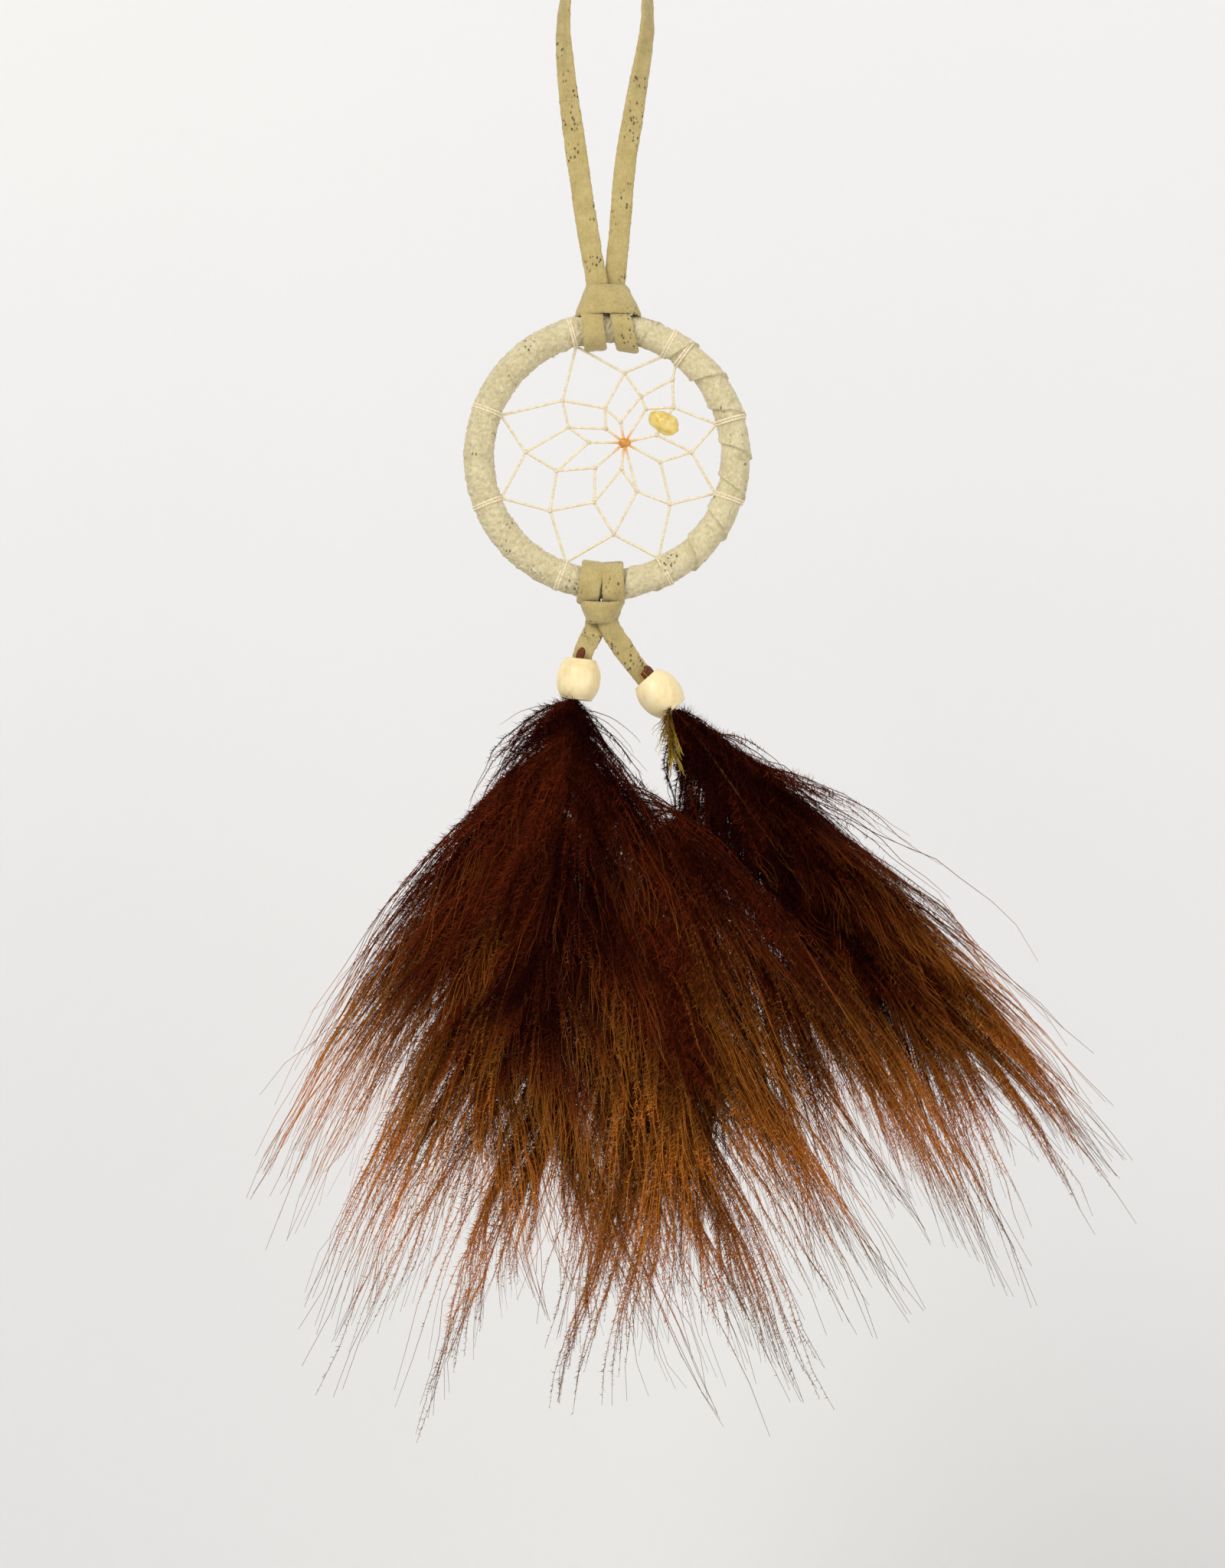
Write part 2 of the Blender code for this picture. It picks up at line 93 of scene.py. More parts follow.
class Field:
    """An output of a node, which can be added, multiplied and so on with others or with numbers."""

    def __init__(self, socket):
        self.socket = getattr(socket, "socket", socket)
        self.tree = self.socket.id_data

    def math(self, operation, *others, output=0):
        values = (self, *others)
        is_vector = any(
            v.socket.type in ("VECTOR", "RGBA") if isinstance(v, Field) else isinstance(v, (tuple, Vector))
            for v in values
        )
        kind = "ShaderNodeVectorMath" if is_vector else "ShaderNodeMath"
        node = add(self.tree, kind, dict(enumerate(values)), operation=operation)
        return Field(node.outputs[output])

    def __add__(self, other):
        return self.math("ADD", other)

    def __sub__(self, other):
        return self.math("SUBTRACT", other)

    def __mul__(self, other):
        return self.math("MULTIPLY", other)

    def __truediv__(self, other):
        return self.math("DIVIDE", other)

    def __pow__(self, other):
        return self.math("POWER", other)

    def __neg__(self):
        return self * -1.0

    __radd__ = __add__
    __rmul__ = __mul__

    def __rsub__(self, other):
        return -self + other

    def step(self, low, high):
        """0 below low, 1 above high, and a smooth rise between them."""
        node = add(
            self.tree,
            "ShaderNodeMapRange",
            {0: self, 1: low, 2: high},
            interpolation_type="SMOOTHSTEP",
        )
        return Field(node.outputs[0])


def new_material(name):
    """A material with one Principled shader. Returns the material, its tree and the shader."""
    made = bpy.data.materials.new(name)
    made.use_nodes = True
    tree = made.node_tree
    return made, tree, tree.nodes["Principled BSDF"]


def object_place(tree, stretch=(1, 1, 1), turn=(0, 0, 0), centre=(0, 0, 0)):
    """The place on the object, in metres, with a pattern's own stretch and turn about a centre."""
    coords = add(tree, "ShaderNodeTexCoord").outputs["Object"]
    moved = Field(coords) - Vector(centre)
    mapping = add(tree, "ShaderNodeMapping", {"Vector": moved, "Rotation": turn, "Scale": stretch})
    return Field(mapping.outputs[0])


def noise_field(tree, place, scale, detail=3.0, roughness=0.6, output=0):
    node = add(
        tree,
        "ShaderNodeTexNoise",
        {"Vector": place, "Scale": scale, "Detail": detail, "Roughness": roughness},
    )
    return Field(node.outputs[output])


def colour_ramp(tree, factor, *stops):
    """stops are (place, colour) pairs."""
    node = add(tree, "ShaderNodeValToRGB", {0: factor})
    elements = node.color_ramp.elements
    while len(elements) < len(stops):
        elements.new(0.5)
    for element, (place, colour) in zip(elements, stops):
        element.position = place
        element.color = (*colour, 1)
    return Field(node.outputs[0])


def mix_colour(tree, factor, first, second, blend="MIX"):
    node = add(
        tree, "ShaderNodeMix", {0: factor, 6: first, 7: second}, data_type="RGBA", blend_type=blend
    )
    return Field(node.outputs[2])


def bump(tree, shader, height, distance, strength=1.0):
    node = add(
        tree,
        "ShaderNodeBump",
        {"Height": height, "Distance": distance, "Strength": strength},
    )
    connect(tree, shader.inputs["Normal"], node.outputs[0])


def add_mesh(name, mesh, *materials):
    piece = bpy.data.objects.new(name, mesh)
    bpy.context.scene.collection.objects.link(piece)
    for finish in materials:
        mesh.materials.append(finish)
    return piece


def mesh_from(name, points, faces):
    mesh = bpy.data.meshes.new(name)
    mesh.from_pydata([tuple(point) for point in points], [], faces)
    mesh.shade_smooth()
    return mesh


def paper_material(name, see_through_back):
    made, tree, shader = new_material(name)
    grain = noise_field(tree, object_place(tree), 900, detail=4)
    # painted shade: large soft areas where the paper turns greyer and a little lilac
    shade_areas = noise_field(tree, object_place(tree, centre=(0.1, 0, -0.3)), 2.2, detail=1)
    tint = colour_ramp(tree, shade_areas, (0.3, PAPER), (0.72, PAPER_PAINTED_SHADE))
    connect(tree, shader.inputs["Base Color"], mix_colour(tree, grain * 0.06, tint, (0.7, 0.7, 0.7, 1)))
    shader.inputs["Roughness"].default_value = 0.9
    shader.inputs["Specular IOR Level"].default_value = 0.1
    bump(tree, shader, grain, 0.0002, 0.15)
    if see_through_back:
        back = add(tree, "ShaderNodeNewGeometry").outputs["Backfacing"]
        clear = add(tree, "ShaderNodeBsdfTransparent").outputs[0]
        mixed = add(tree, "ShaderNodeMixShader", {0: back, 1: shader.outputs[0], 2: clear})
        connect(tree, tree.nodes["Material Output"].inputs["Surface"], mixed.outputs[0])
    return made


def stage_sheet(name, corners, finish):
    sheet = add_mesh(name, mesh_from(name, corners, [(0, 1, 2, 3)]), finish)


wall_y = HOOP_CENTRE.y + WALL_BEHIND
floor_z = HOOP_CENTRE.z - FLOOR_BELOW
stage_sheet(
    "paper_wall",
    [(-1.6, wall_y, floor_z), (1.6, wall_y, floor_z), (1.6, wall_y, 1.2), (-1.6, wall_y, 1.2)],
    paper_material("paper", True),
)
stage_sheet(
    "pale_floor",
    [(-1.6, -1.6, floor_z), (1.6, -1.6, floor_z), (1.6, wall_y, floor_z), (-1.6, wall_y, floor_z)],
    paper_material("floor_paper", False),
)

camera_data = bpy.data.cameras.new("camera")
camera_data.sensor_width = SENSOR
camera_data.lens = SENSOR * VIEW_DISTANCE / VIEW_HEIGHT
camera_data.clip_start = 0.05
camera = bpy.data.objects.new("camera", camera_data)
camera.location = VIEW_CENTRE - Vector((0, VIEW_DISTANCE, 0))
camera.rotation_euler = (pi / 2, 0, 0)
bpy.context.scene.collection.objects.link(camera)
bpy.context.scene.camera = camera


def soft_light(name, place, size, power, colour=(1, 1, 1)):
    light = bpy.data.lights.new(name, "AREA")
    light.size = size
    light.energy = power
    light.color = colour
    lamp = bpy.data.objects.new(name, light)
    lamp.location = place
    aim = VIEW_CENTRE - Vector(place)
    lamp.rotation_euler = aim.to_track_quat("-Z", "Y").to_euler()
    bpy.context.scene.collection.objects.link(lamp)


soft_light("key_light", (-0.7, -1.1, 0.75), 0.8, 13.6, (1.0, 0.985, 0.96))
soft_light("fill_light", (0.9, -1.0, 0.1), 1.0, 5.6, (0.98, 0.98, 1.0))
world = bpy.data.worlds.new("pale_air")
world.use_nodes = True
world.node_tree.nodes["Background"].inputs["Color"].default_value = (0.98, 0.98, 1.0, 1)
world.node_tree.nodes["Background"].inputs["Strength"].default_value = 0.57
bpy.context.scene.world = world
bpy.context.scene.view_settings.view_transform = "Standard"

# Hanging lace: one flat strip of tan suede, cut from a hide, so its edges are rough and its skin is
# full of pores. Both ends come up out of the knot, and its bight goes over the hook.

LACE_WIDTH = 0.0048
LACE_THICKNESS = 0.0012
STRAP_OFFSET = 0.00075  # the left strap lies in front of the right one
KNOT_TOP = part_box("hanger_knot")[1][2]
LOOP_FOOT = KNOT_TOP + 0.0003
LOOP_ROUTE = [
    (-0.0023, -STRAP_OFFSET, LOOP_FOOT),
    (-0.0046, -0.0008, LOOP_FOOT + 0.01305),
    (-0.0067, -0.0006, -0.0500),
    (-0.0090, -0.0003, -0.0330),
    (-0.0098, 0, -0.0180),
    (-0.0072, 0, -0.0052),
    (0, 0, 0.0006),
    (0.0072, 0, -0.0052),
    (0.0091, 0, -0.0180),
    (0.0070, 0.0003, -0.0330),
    (0.0042, 0.0006, -0.0500),
    (0.0029, 0.0008, LOOP_FOOT + 0.01305),
    (0.0017, STRAP_OFFSET, LOOP_FOOT),
]
FLAT_BELOW = -0.050  # the strap lies flat to the front up to here
INTO_KNOT = 0.0026  # how far both ends go on inside the knot
HIDE_ROUGHNESS = 0.00016  # how far the hide's skin and cut edges wander
NAP_DENSITY = 3.0e6  # fibres on a square metre
NAP_LENGTH = 0.00028
TAN_LIGHT = (0.56, 0.448, 0.188)
TAN_DARK = (0.36, 0.268, 0.092)
PORE_DARK = (0.045, 0.032, 0.018)
DEPTH = Vector((0, 1, 0))


def smooth_route(points, per_span):
    """Points of a smooth curve through the route's own points."""
    points = [Vector(point) for point in points]
    ends = [2 * points[0] - points[1], *points, 2 * points[-1] - points[-2]]
    route = []
    for a, b, c, d in zip(ends, ends[1:], ends[2:], ends[3:]):
        for k in range(per_span):
            t = k / per_span
            bend = (2 * a - 5 * b + 4 * c - d) * t**2 + (3 * b - a - 3 * c + d) * t**3
            route.append(0.5 * (2 * b + (c - a) * t + bend))
    return route + [points[-1]]


def facing_out(piece):
    """Turns the faces of a closed piece outwards."""
    work = bmesh.new()
    work.from_mesh(piece.data)
    bmesh.ops.recalc_face_normals(work, faces=work.faces)
    work.to_mesh(piece.data)
    work.free()


def leather_sheet(name, surface, long_steps, wide_steps, thickness, finish):
    """A closed piece of leather. surface(u, v) gives the middle of its thickness, with u from 0 to 1
    along it and v from -1 to 1 across it. Its long edges are rounded, and its ends are closed."""
    across = [sin(pi / 2 * (2 * k / wide_steps - 1)) for k in range(wide_steps + 1)]
    points, faces = [], []
    small = 1e-4  # the share between two places whose difference gives a direction
    ring = 2 * wide_steps
    for i in range(long_steps + 1):
        u = i / long_steps
        outer, inner = [], []
        for v in across:
            middle = surface(u, v)
            along = surface(min(1, u + small), v) - surface(max(0, u - small), v)
            sideways = surface(u, min(1, v + small)) - surface(u, max(-1, v - small))
            out = sideways.cross(along).normalized()
            half = thickness / 2 * (1 - abs(v) ** 6) ** 0.5
            wobble = noise.noise(middle * 450) * HIDE_ROUGHNESS
            edge = sideways.normalized() * noise.noise(middle * 1600) * HIDE_ROUGHNESS * v**4
            outer.append(middle + out * (half + wobble) + edge)
            inner.append(middle - out * (half - wobble) + edge)
        points += outer + inner[-2:0:-1]
    for i in range(long_steps):
        for k in range(ring):
            after = (k + 1) % ring
            a, b = i * ring + k, i * ring + after
            faces.append((a, a + ring, b + ring, b))
    for base, turn in ((0, 1), (long_steps * ring, -1)):
        for k in range(wide_steps - 1):
            low = (base + k, base + k + 1, base + (ring - k - 1) % ring, base + (ring - k) % ring)
            quad = list(dict.fromkeys(low))
            faces.append(quad[::turn])
        last = [base + wide_steps - 1, base + wide_steps, base + wide_steps + 1]
        faces.append(last[::turn])
    sheet = add_mesh(name, mesh_from(name, points, faces), finish)
    facing_out(sheet)
    return sheet


def suede_material(name, light, dark, pore_share, nap_contrast, pitting, turn=(0, 0, 0)):
    """Napped hide: cloudy tone, a short grain along the strip, and pores in small groups. pitting is how
    much of its surface is rubbed into little pits, which are bumped and also darkened with painted shade."""
    made, tree, shader = new_material(name)
    place = object_place(tree)
    clouds = noise_field(tree, place, 260, detail=4, roughness=0.65)
    nap = noise_field(tree, object_place(tree, (1, 1, 0.55), turn), 2600, detail=3, roughness=0.7)
    pits_and_shade = noise_field(tree, place, 1150, detail=2, roughness=0.5)
    # the pits' darker colour is painted shade in them; the same noise makes their bump
    tone = clouds * 0.55 + nap * nap_contrast + pits_and_shade * pitting + (0.22 - nap_contrast / 2 - pitting / 2)
    hide = colour_ramp(tree, tone, (0.28, dark), (0.72, light))
    drift = place + noise_field(tree, place, 600, output=1) * 0.0016
    pore_place = object_place(tree, (1, 1, 0.6), turn) + drift * 0.15
    pore = add(tree, "ShaderNodeTexVoronoi", {"Vector": pore_place, "Scale": 1250})
    group = add(tree, "ShaderNodeTexVoronoi", {"Vector": drift, "Scale": 150})
    pit = Field(pore.outputs["Distance"]).step(0.44, 0.22)
    crowd = Field(group.outputs["Distance"]).step(pore_share, pore_share * 0.6)
    luck = Field(pore.outputs["Color"]).math("DOT_PRODUCT", (0.6, 0.3, 0.1), output=1).step(0.45, 0.5)
    pores = pit * crowd * luck
    colour = mix_colour(tree, pores * 0.85, hide, (*PORE_DARK, 1))
    connect(tree, shader.inputs["Base Color"], colour)
    connect(tree, shader.inputs["Roughness"], 0.86 + nap * 0.14)
    shader.inputs["Specular IOR Level"].default_value = 0.15
    shader.inputs["Sheen Weight"].default_value = 0.25
    shader.inputs["Sheen Roughness"].default_value = 0.6
    height = nap * 0.7 + clouds * 0.8 + pits_and_shade * pitting * 2.0 - pores * 1.4
    bump(tree, shader, height, 0.0004, 0.6)
    return made


def new_tree(name, sockets):
    """A geometry tree with a geometry input and output and the named inputs given. Returns the tree,
    its inputs as fields, and each input's identifier."""
    tree = bpy.data.node_groups.new(name, "GeometryNodeTree")
    tree.interface.new_socket("Geometry", in_out="INPUT", socket_type="NodeSocketGeometry")
    tree.interface.new_socket("Geometry", in_out="OUTPUT", socket_type="NodeSocketGeometry")
    identifiers = {}
    for label, kind in sockets.items():
        made = tree.interface.new_socket(label, in_out="INPUT", socket_type="NodeSocket" + kind)
        identifiers[label] = made.identifier
    source = tree.nodes.new("NodeGroupInput")
    fields = {label: Field(source.outputs[label]) for label in ("Geometry", *sockets)}
    return tree, fields, identifiers


def finish_tree(tree, geometry, finish):
    """Realizes everything, sets its material and sends it to the output."""
    real = add(tree, "GeometryNodeRealizeInstances", {0: geometry}).outputs[0]
    done = add(tree, "GeometryNodeSetMaterial", {"Geometry": real, "Material": finish}).outputs[0]
    sink = tree.nodes.new("NodeGroupOutput")
    tree.links.new(done, sink.inputs[0])


def grow(name, base, tree, identifiers, **inputs):
    """Runs a tree on a base object and returns the result as a plain mesh piece of that name."""
    modifier = base.modifiers.new("tree", "NODES")
    modifier.node_group = tree
    for label, value in inputs.items():
        modifier[identifiers[label.replace("_", " ")]] = value
    graph = bpy.context.evaluated_depsgraph_get()
    graph.update()
    mesh = bpy.data.meshes.new_from_object(base.evaluated_get(graph))
    mesh.name = name
    old = base.data
    bpy.data.objects.remove(base)
    bpy.data.meshes.remove(old)
    piece = bpy.data.objects.new(name, mesh)
    bpy.context.scene.collection.objects.link(piece)
    return piece


def nap_tree():
    """Stands short fibres on a suede piece, leaning every way."""
    tree, given, identifiers = new_tree(
        "suede_nap",
        {"Density": "Float", "Length": "Float", "Lean": "Float", "Seed": "Int", "Finish": "Material"},
    )
    scatter = add(
        tree,
        "GeometryNodeDistributePointsOnFaces",
        {"Mesh": given["Geometry"], "Density": given["Density"], "Seed": given["Seed"]},
    )
    blade = add(
        tree, "GeometryNodeMeshCone", {"Vertices": 3, "Radius Bottom": 0.16, "Depth": 1.0}, fill_type="NONE"
    ).outputs["Mesh"]
    lean = Field(
        add(
            tree,
            "FunctionNodeRandomValue",
            {0: (-1, -1, -1), 1: (1, 1, 1), "Seed": given["Seed"]},
            data_type="FLOAT_VECTOR",
        ).outputs[0]
    )
    heading = Field(scatter.outputs["Normal"]) + lean * given["Lean"]
    turn = add(tree, "FunctionNodeAlignRotationToVector", {"Vector": heading}, axis="Z").outputs[0]
    size = Field(add(tree, "FunctionNodeRandomValue", {2: 0.4, 3: 1.0, "Seed": 7}).outputs[1])
    fibres = add(
        tree,
        "GeometryNodeInstanceOnPoints",
        {"Points": scatter.outputs[0], "Instance": blade, "Rotation": turn, "Scale": size * given["Length"]},
    )
    joined = add(tree, "GeometryNodeJoinGeometry")
    tree.links.new(fibres.outputs[0], joined.inputs[0])
    tree.links.new(given["Geometry"].socket, joined.inputs[0])
    finish_tree(tree, joined.outputs[0], given["Finish"])
    return tree, identifiers


NAP_TREE, NAP_INPUTS = nap_tree()


def napped(piece, finish, density, length, lean=0.9, seed=1):
    """The piece with its nap, renamed to say so."""
    return grow(piece.name + "_napped", piece, NAP_TREE, NAP_INPUTS, Density=density, Length=length,
                Lean=lean, Seed=seed, Finish=finish)


tan_suede = suede_material("tan_suede", TAN_LIGHT, TAN_DARK, 0.50, 0.55, 0.2)
loop_spine = smooth_route(LOOP_ROUTE, 12)
first, last = loop_spine[0], loop_spine[-1]
loop_path = [first - Vector((-0.0002, 0, INTO_KNOT)), *loop_spine, last - Vector((0.0001, 0, INTO_KNOT))]


def along_path(path, u):
    """The place on a path of points at a share u of its steps, and the direction there."""
    place = min(len(path) - 1.000001, max(0.0, u * (len(path) - 1)))
    index = int(place)
    here = path[index].lerp(path[index + 1], place - index)
    before = path[max(0, index - 1)]
    after = path[min(len(path) - 1, index + 2)]
    return here, (after - before).normalized()


def loop_surface(u, v):
    here, along = along_path(loop_path, u)
    twist = pi / 2 * min(1, max(0, (here.z - FLAT_BELOW) / -FLAT_BELOW))
    in_plane = DEPTH.cross(along).normalized()
    across = in_plane * cos(twist) + in_plane.cross(along) * sin(twist)
    cupped = in_plane.cross(along) * cos(twist) * 0.00022 * (v * v - 0.4)
    uneven = 1 + 0.05 * noise.noise(Vector((u * 31, v, 0)))
    return here + across * v * LACE_WIDTH / 2 * uneven + cupped


hanging_lace = leather_sheet("hanging_lace", loop_surface, 330, 12, LACE_THICKNESS, tan_suede)
hanging_lace = napped(hanging_lace, tan_suede, NAP_DENSITY, NAP_LENGTH)
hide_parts("hanger_loop")
loop_length = sum((b - a).length for a, b in zip(loop_path, loop_path[1:]))
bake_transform(hanging_lace)

# Hoop: a wire ring with cream suede lace wound round it, each turn over the last one's edge. The
# skin side shows on the right, with clear turn edges, and the rough side on the left hides them.

WRAP_TURNS = 21
WRAP_NAP_DENSITY, WRAP_NAP_LENGTH = 4.0e6, 0.00034
TURN_STEP = 0.00052  # how much higher each turn's edge stands than the turn it covers
RING_STEPS, TUBE_STEPS = 1000, 48
CREAM_LIGHT = (0.74, 0.655, 0.41)
CREAM_DARK = (0.49, 0.41, 0.22)


def wound_tree():
    """Lays a closed skin on the ring and lifts it along the winding's helix."""
    tree, given, identifiers = new_tree(
        "wound_lace",
        {"Ring Radius": "Float", "Tube Radius": "Float", "Turns": "Float", "Step": "Float",
         "Centre": "Vector", "Finish": "Material"},
    )
    grid = add(tree, "GeometryNodeMeshGrid", {"Vertices X": RING_STEPS + 1, "Vertices Y": TUBE_STEPS + 1})
    parts = add(tree, "ShaderNodeSeparateXYZ", {0: add(tree, "GeometryNodeInputPosition").outputs[0]})
    round_ring, round_tube = Field(parts.outputs[0]) + 0.5, Field(parts.outputs[1]) + 0.5
    theta, psi = round_ring * (2 * pi), round_tube * (2 * pi)
    outward = Field(
        add(tree, "ShaderNodeCombineXYZ", {0: theta.math("COSINE"), 2: theta.math("SINE")}).outputs[0]
    )
    from_tube = outward * psi.math("COSINE") + psi.math("SINE") * Vector((0, -1, 0))
    skin = outward * given["Ring Radius"] + from_tube * given["Tube Radius"]
    right_side = theta.math("COSINE").step(-0.25, 0.75)
    ragged = noise_field(tree, skin, 320, detail=2) * 0.09
    phase = (round_ring * given["Turns"] - round_tube + ragged).math("FRACT")
    lip = (1.0 - phase * 9.0).math("MAXIMUM", 0.0) * 0.35
    turn = (1.0 - phase + lip - 0.62) * given["Step"] * (0.26 + right_side * 0.74)
    rough = (noise_field(tree, skin, 1050, detail=2, roughness=0.5) - 0.5) * (
        0.00120 - right_side * 0.00075
    )
    soft = (noise_field(tree, skin, 150, detail=1) - 0.5) * 0.0005
    place = skin + from_tube * (turn + rough + soft) + given["Centre"]
    laid = add(tree, "GeometryNodeSetPosition", {"Geometry": grid.outputs["Mesh"], "Position": place})
    closed = add(tree, "GeometryNodeMergeByDistance", {"Geometry": laid.outputs[0], "Distance": 1e-6})
    smooth = add(tree, "GeometryNodeSetShadeSmooth", {"Geometry": closed.outputs[0]})
    finish_tree(tree, smooth.outputs[0], given["Finish"])
    return tree, identifiers


cream_suede = suede_material("cream_suede", CREAM_LIGHT, CREAM_DARK, 0.34, 0.6, 0.62)
WOUND_TREE, WOUND_INPUTS = wound_tree()
wound_suede = grow(
    "wound_suede", add_mesh("wound_base", mesh_from("wound_base", [(0, 0, 0)], [])), WOUND_TREE,
    WOUND_INPUTS, Ring_Radius=RING_RADIUS, Tube_Radius=WRAP_RADIUS, Turns=float(WRAP_TURNS),
    Step=TURN_STEP, Centre=HOOP_CENTRE, Finish=cream_suede,
)
facing_out(wound_suede)
wound_suede = napped(wound_suede, cream_suede, WRAP_NAP_DENSITY, WRAP_NAP_LENGTH, lean=1.1, seed=3)
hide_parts("hoop_wrap")
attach(wound_suede, "hoop")


def brushed_metal(name, colour):
    made, tree, shader = new_material(name)
    drawn = noise_field(tree, object_place(tree, (1, 0.05, 1)), 2500, detail=2)
    lighter = tuple(min(1, c * 1.25) for c in colour)
    connect(tree, shader.inputs["Base Color"], colour_ramp(tree, drawn, (0.35, colour), (0.65, lighter)))
    connect(tree, shader.inputs["Roughness"], 0.3 + drawn * 0.2)
    shader.inputs["Metallic"].default_value = 1.0
    return made


ring_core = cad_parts["ring_core"]
ring_core.data.materials.clear()
ring_core.data.materials.append(brushed_metal("ring_wire", (0.5, 0.5, 0.51)))

# Knots: a lark's head of the hanging lace on the hoop's top, and one of the tails' lace on its foot.
# Two bands go down the front, under the tube and up its back, and the bight lies across them.

BAND_WIDTH = 0.0050
BAND_RADIUS = WRAP_RADIUS + 0.0012  # from the tube's middle to the band's
ARC_FROM, ARC_TO = radians(12), radians(305)  # round the tube, from the side away from the hoop's middle
BIGHT_BEND = radians(118)  # from the bight's middle to each of its ends
BIGHT_DEPTHS = (0.0047, 0.0022)  # its middle's distance to the front, at the near and the far edge
KNOT_LACE = 0.00115  # thickness, pulled a little thinner than the free lace


def lace_band(name, side, middle, skew, foot, finish):
    """One band round the tube. It starts under the bight, and behind the tube it goes on to the
    strap's foot. side is 1 on the hoop's top and -1 on its foot, and skew slants it sideways."""
    lean = asin((middle + skew / 2) / RING_RADIUS)
    out = Vector((sin(lean), 0, side * cos(lean)))
    level = Vector((cos(lean), 0, -side * sin(lean)))
    centre = HOOP_CENTRE + Vector((middle, 0, side * sqrt(RING_RADIUS**2 - middle**2)))
    route = []
    for i in range(13):
        turn = ARC_FROM + (ARC_TO - ARC_FROM) * i / 12
        ring = out * cos(turn) - DEPTH * sin(turn)
        route.append(centre + ring * BAND_RADIUS + level * skew * (1 - cos(turn)) / 2)
    route.append(foot - Vector((0, 0, side * 0.0012)))
    path = smooth_route(route, 5)

    def surface(u, v):
        here = along_path(path, u)[0]
        cup = out * 0.00012 * v * v * (1 if u < 0.6 else 0)
        return here + level * v * BAND_WIDTH / 2 * (1 + 0.03 * noise.noise(here * 300)) - cup

    return leather_sheet(name, surface, 120, 12, KNOT_LACE, finish)


def bight(name, side, reach, low, high, finish):
    """The lace's bight, laid across the straps and bent back round them. reach is how far its edges
    lie past the hoop, and low and high are the half width and the middle of the near and the far
    edge."""
    near_tube, far = (side * (RING_RADIUS + WRAP_RADIUS + past) for past in reach)

    def surface(u, v):
        rise = (v + 1) / 2
        bend = (2 * u - 1) * BIGHT_BEND
        half = low[0] + (high[0] - low[0]) * rise
        middle = low[1] + (high[1] - low[1]) * rise
        depth = BIGHT_DEPTHS[0] + (BIGHT_DEPTHS[1] - BIGHT_DEPTHS[0]) * rise
        flat = abs(cos(bend)) ** 0.75 * (1 if cos(bend) > 0 else -1)
        arch = 0.0011 * (1 - rise) * (2 * u - 1) ** 2 - 0.00035 * rise * (2 * u - 1) ** 2
        z = near_tube + (far - near_tube) * rise - side * arch
        crease = noise.noise(Vector((u * 5, v * 1.3, side))) * 0.00022
        swell = 0.00035 * (1 - v * v)
        return HOOP_CENTRE + Vector((middle + half * sin(bend), -(depth + swell) * flat + crease, z))

    return leather_sheet(name, surface, 90, 14, KNOT_LACE, finish)


def joined(name, pieces):
    """Puts the meshes of several pieces in one."""
    work = bmesh.new()
    for piece in pieces:
        work.from_mesh(piece.data)
    mesh = bpy.data.meshes.new(name)
    work.to_mesh(mesh)
    work.free()
    finish = pieces[0].data.materials[0]
    for piece in pieces:
        bpy.data.objects.remove(piece)
    return add_mesh(name, mesh, finish)


TAIL_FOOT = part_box("tail_knot")[0][2]
hanger_knot = joined(
    "hanger_knot_lace",
    [
        lace_band("left_band", 1, -0.0031, 0.0, Vector((-0.0021, 0.0002, KNOT_TOP)), tan_suede),
        lace_band("right_band", 1, 0.0020, 0.0032, Vector((0.0017, 0.0014, KNOT_TOP)), tan_suede),
        bight("top_bight", 1, (-0.0004, 0.0062), (0.0072, 0.0003), (0.0039, -0.0002), tan_suede),
    ],
)
hanger_knot = napped(hanger_knot, tan_suede, NAP_DENSITY, NAP_LENGTH, seed=5)
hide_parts("hanger_knot")
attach(hanger_knot, "hanger_knot")

tail_knot = joined(
    "tail_knot_lace",
    [
        lace_band("left_band", -1, -0.0039, 0.0002, Vector((-0.0027, 0.0012, TAIL_FOOT)), tan_suede),
        lace_band("right_band", -1, 0.0013, 0.0, Vector((0.0004, -0.0004, TAIL_FOOT)), tan_suede),
        bight("low_bight", -1, (0.0007, 0.0054), (0.0048, -0.0011), (0.0021, -0.0015), tan_suede),
    ],
)
tail_knot = napped(tail_knot, tan_suede, NAP_DENSITY, NAP_LENGTH, seed=6)
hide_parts("tail_knot")
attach(tail_knot, "tail_knot")

# Web: one waxed two-ply thread. It is hitched round the hoop, knotted inwards row by row, and its
# last knot is held with a dab of amber glue.

# A knot's place is a share of the hole's radius and an angle in degrees up from the right.
THREAD_RADIUS = 0.00034
THREAD_TWIST = 0.0013  # length of one twist of the two plies
HITCH_SPACING = 0.0006  # between the two turns of a hitch
HOLE_RADIUS = RING_RADIUS - WRAP_RADIUS
HITCH_RING = WRAP_RADIUS - 0.00006  # the hitches bite into the wrap
HITCHES = (105.8, 61.0, 53.0, 16.3, -19.1, -63.3, -111.2, -158.4, 159.0)
OUTER_KNOTS = (
    (0.749, 78.2), (0.726, 36.4), (0.746, 2.7), (0.700, -37.3),
    (0.693, -85.1), (0.696, -136.1), (0.718, 177.2), (0.628, 128.7),
)
OUTER_SPANS = ((0, 1), (2, 3), (3, 4), (4, 5), (5, 6), (6, 7), (7, 8), (8, 0))  # hitches on each side
INNER_KNOTS = {
    "start": (0.887, 49.5),
    "top_right": (0.604, 60.4),
    "above_chip": (0.538, 50.6),
    "below_chip": (0.474, 23.4),
    "right": (0.473, -6.2),
    "low_right": (0.406, -49.7),
    "low_left": (0.420, -105.7),
    "left": (0.462, -163.7),
    "top_left": (0.426, 143.2),
    "top": (0.424, 92.7),
    "inner_low": (0.169, -42.2),
    "inner_low_left": (0.147, -136.1),
    "inner_left": (0.202, 142.9),
    "inner_top": (0.243, 92.8),
    "inner_top_right": (0.324, 68.7),
    "hub": (0.193, 37.6),
}
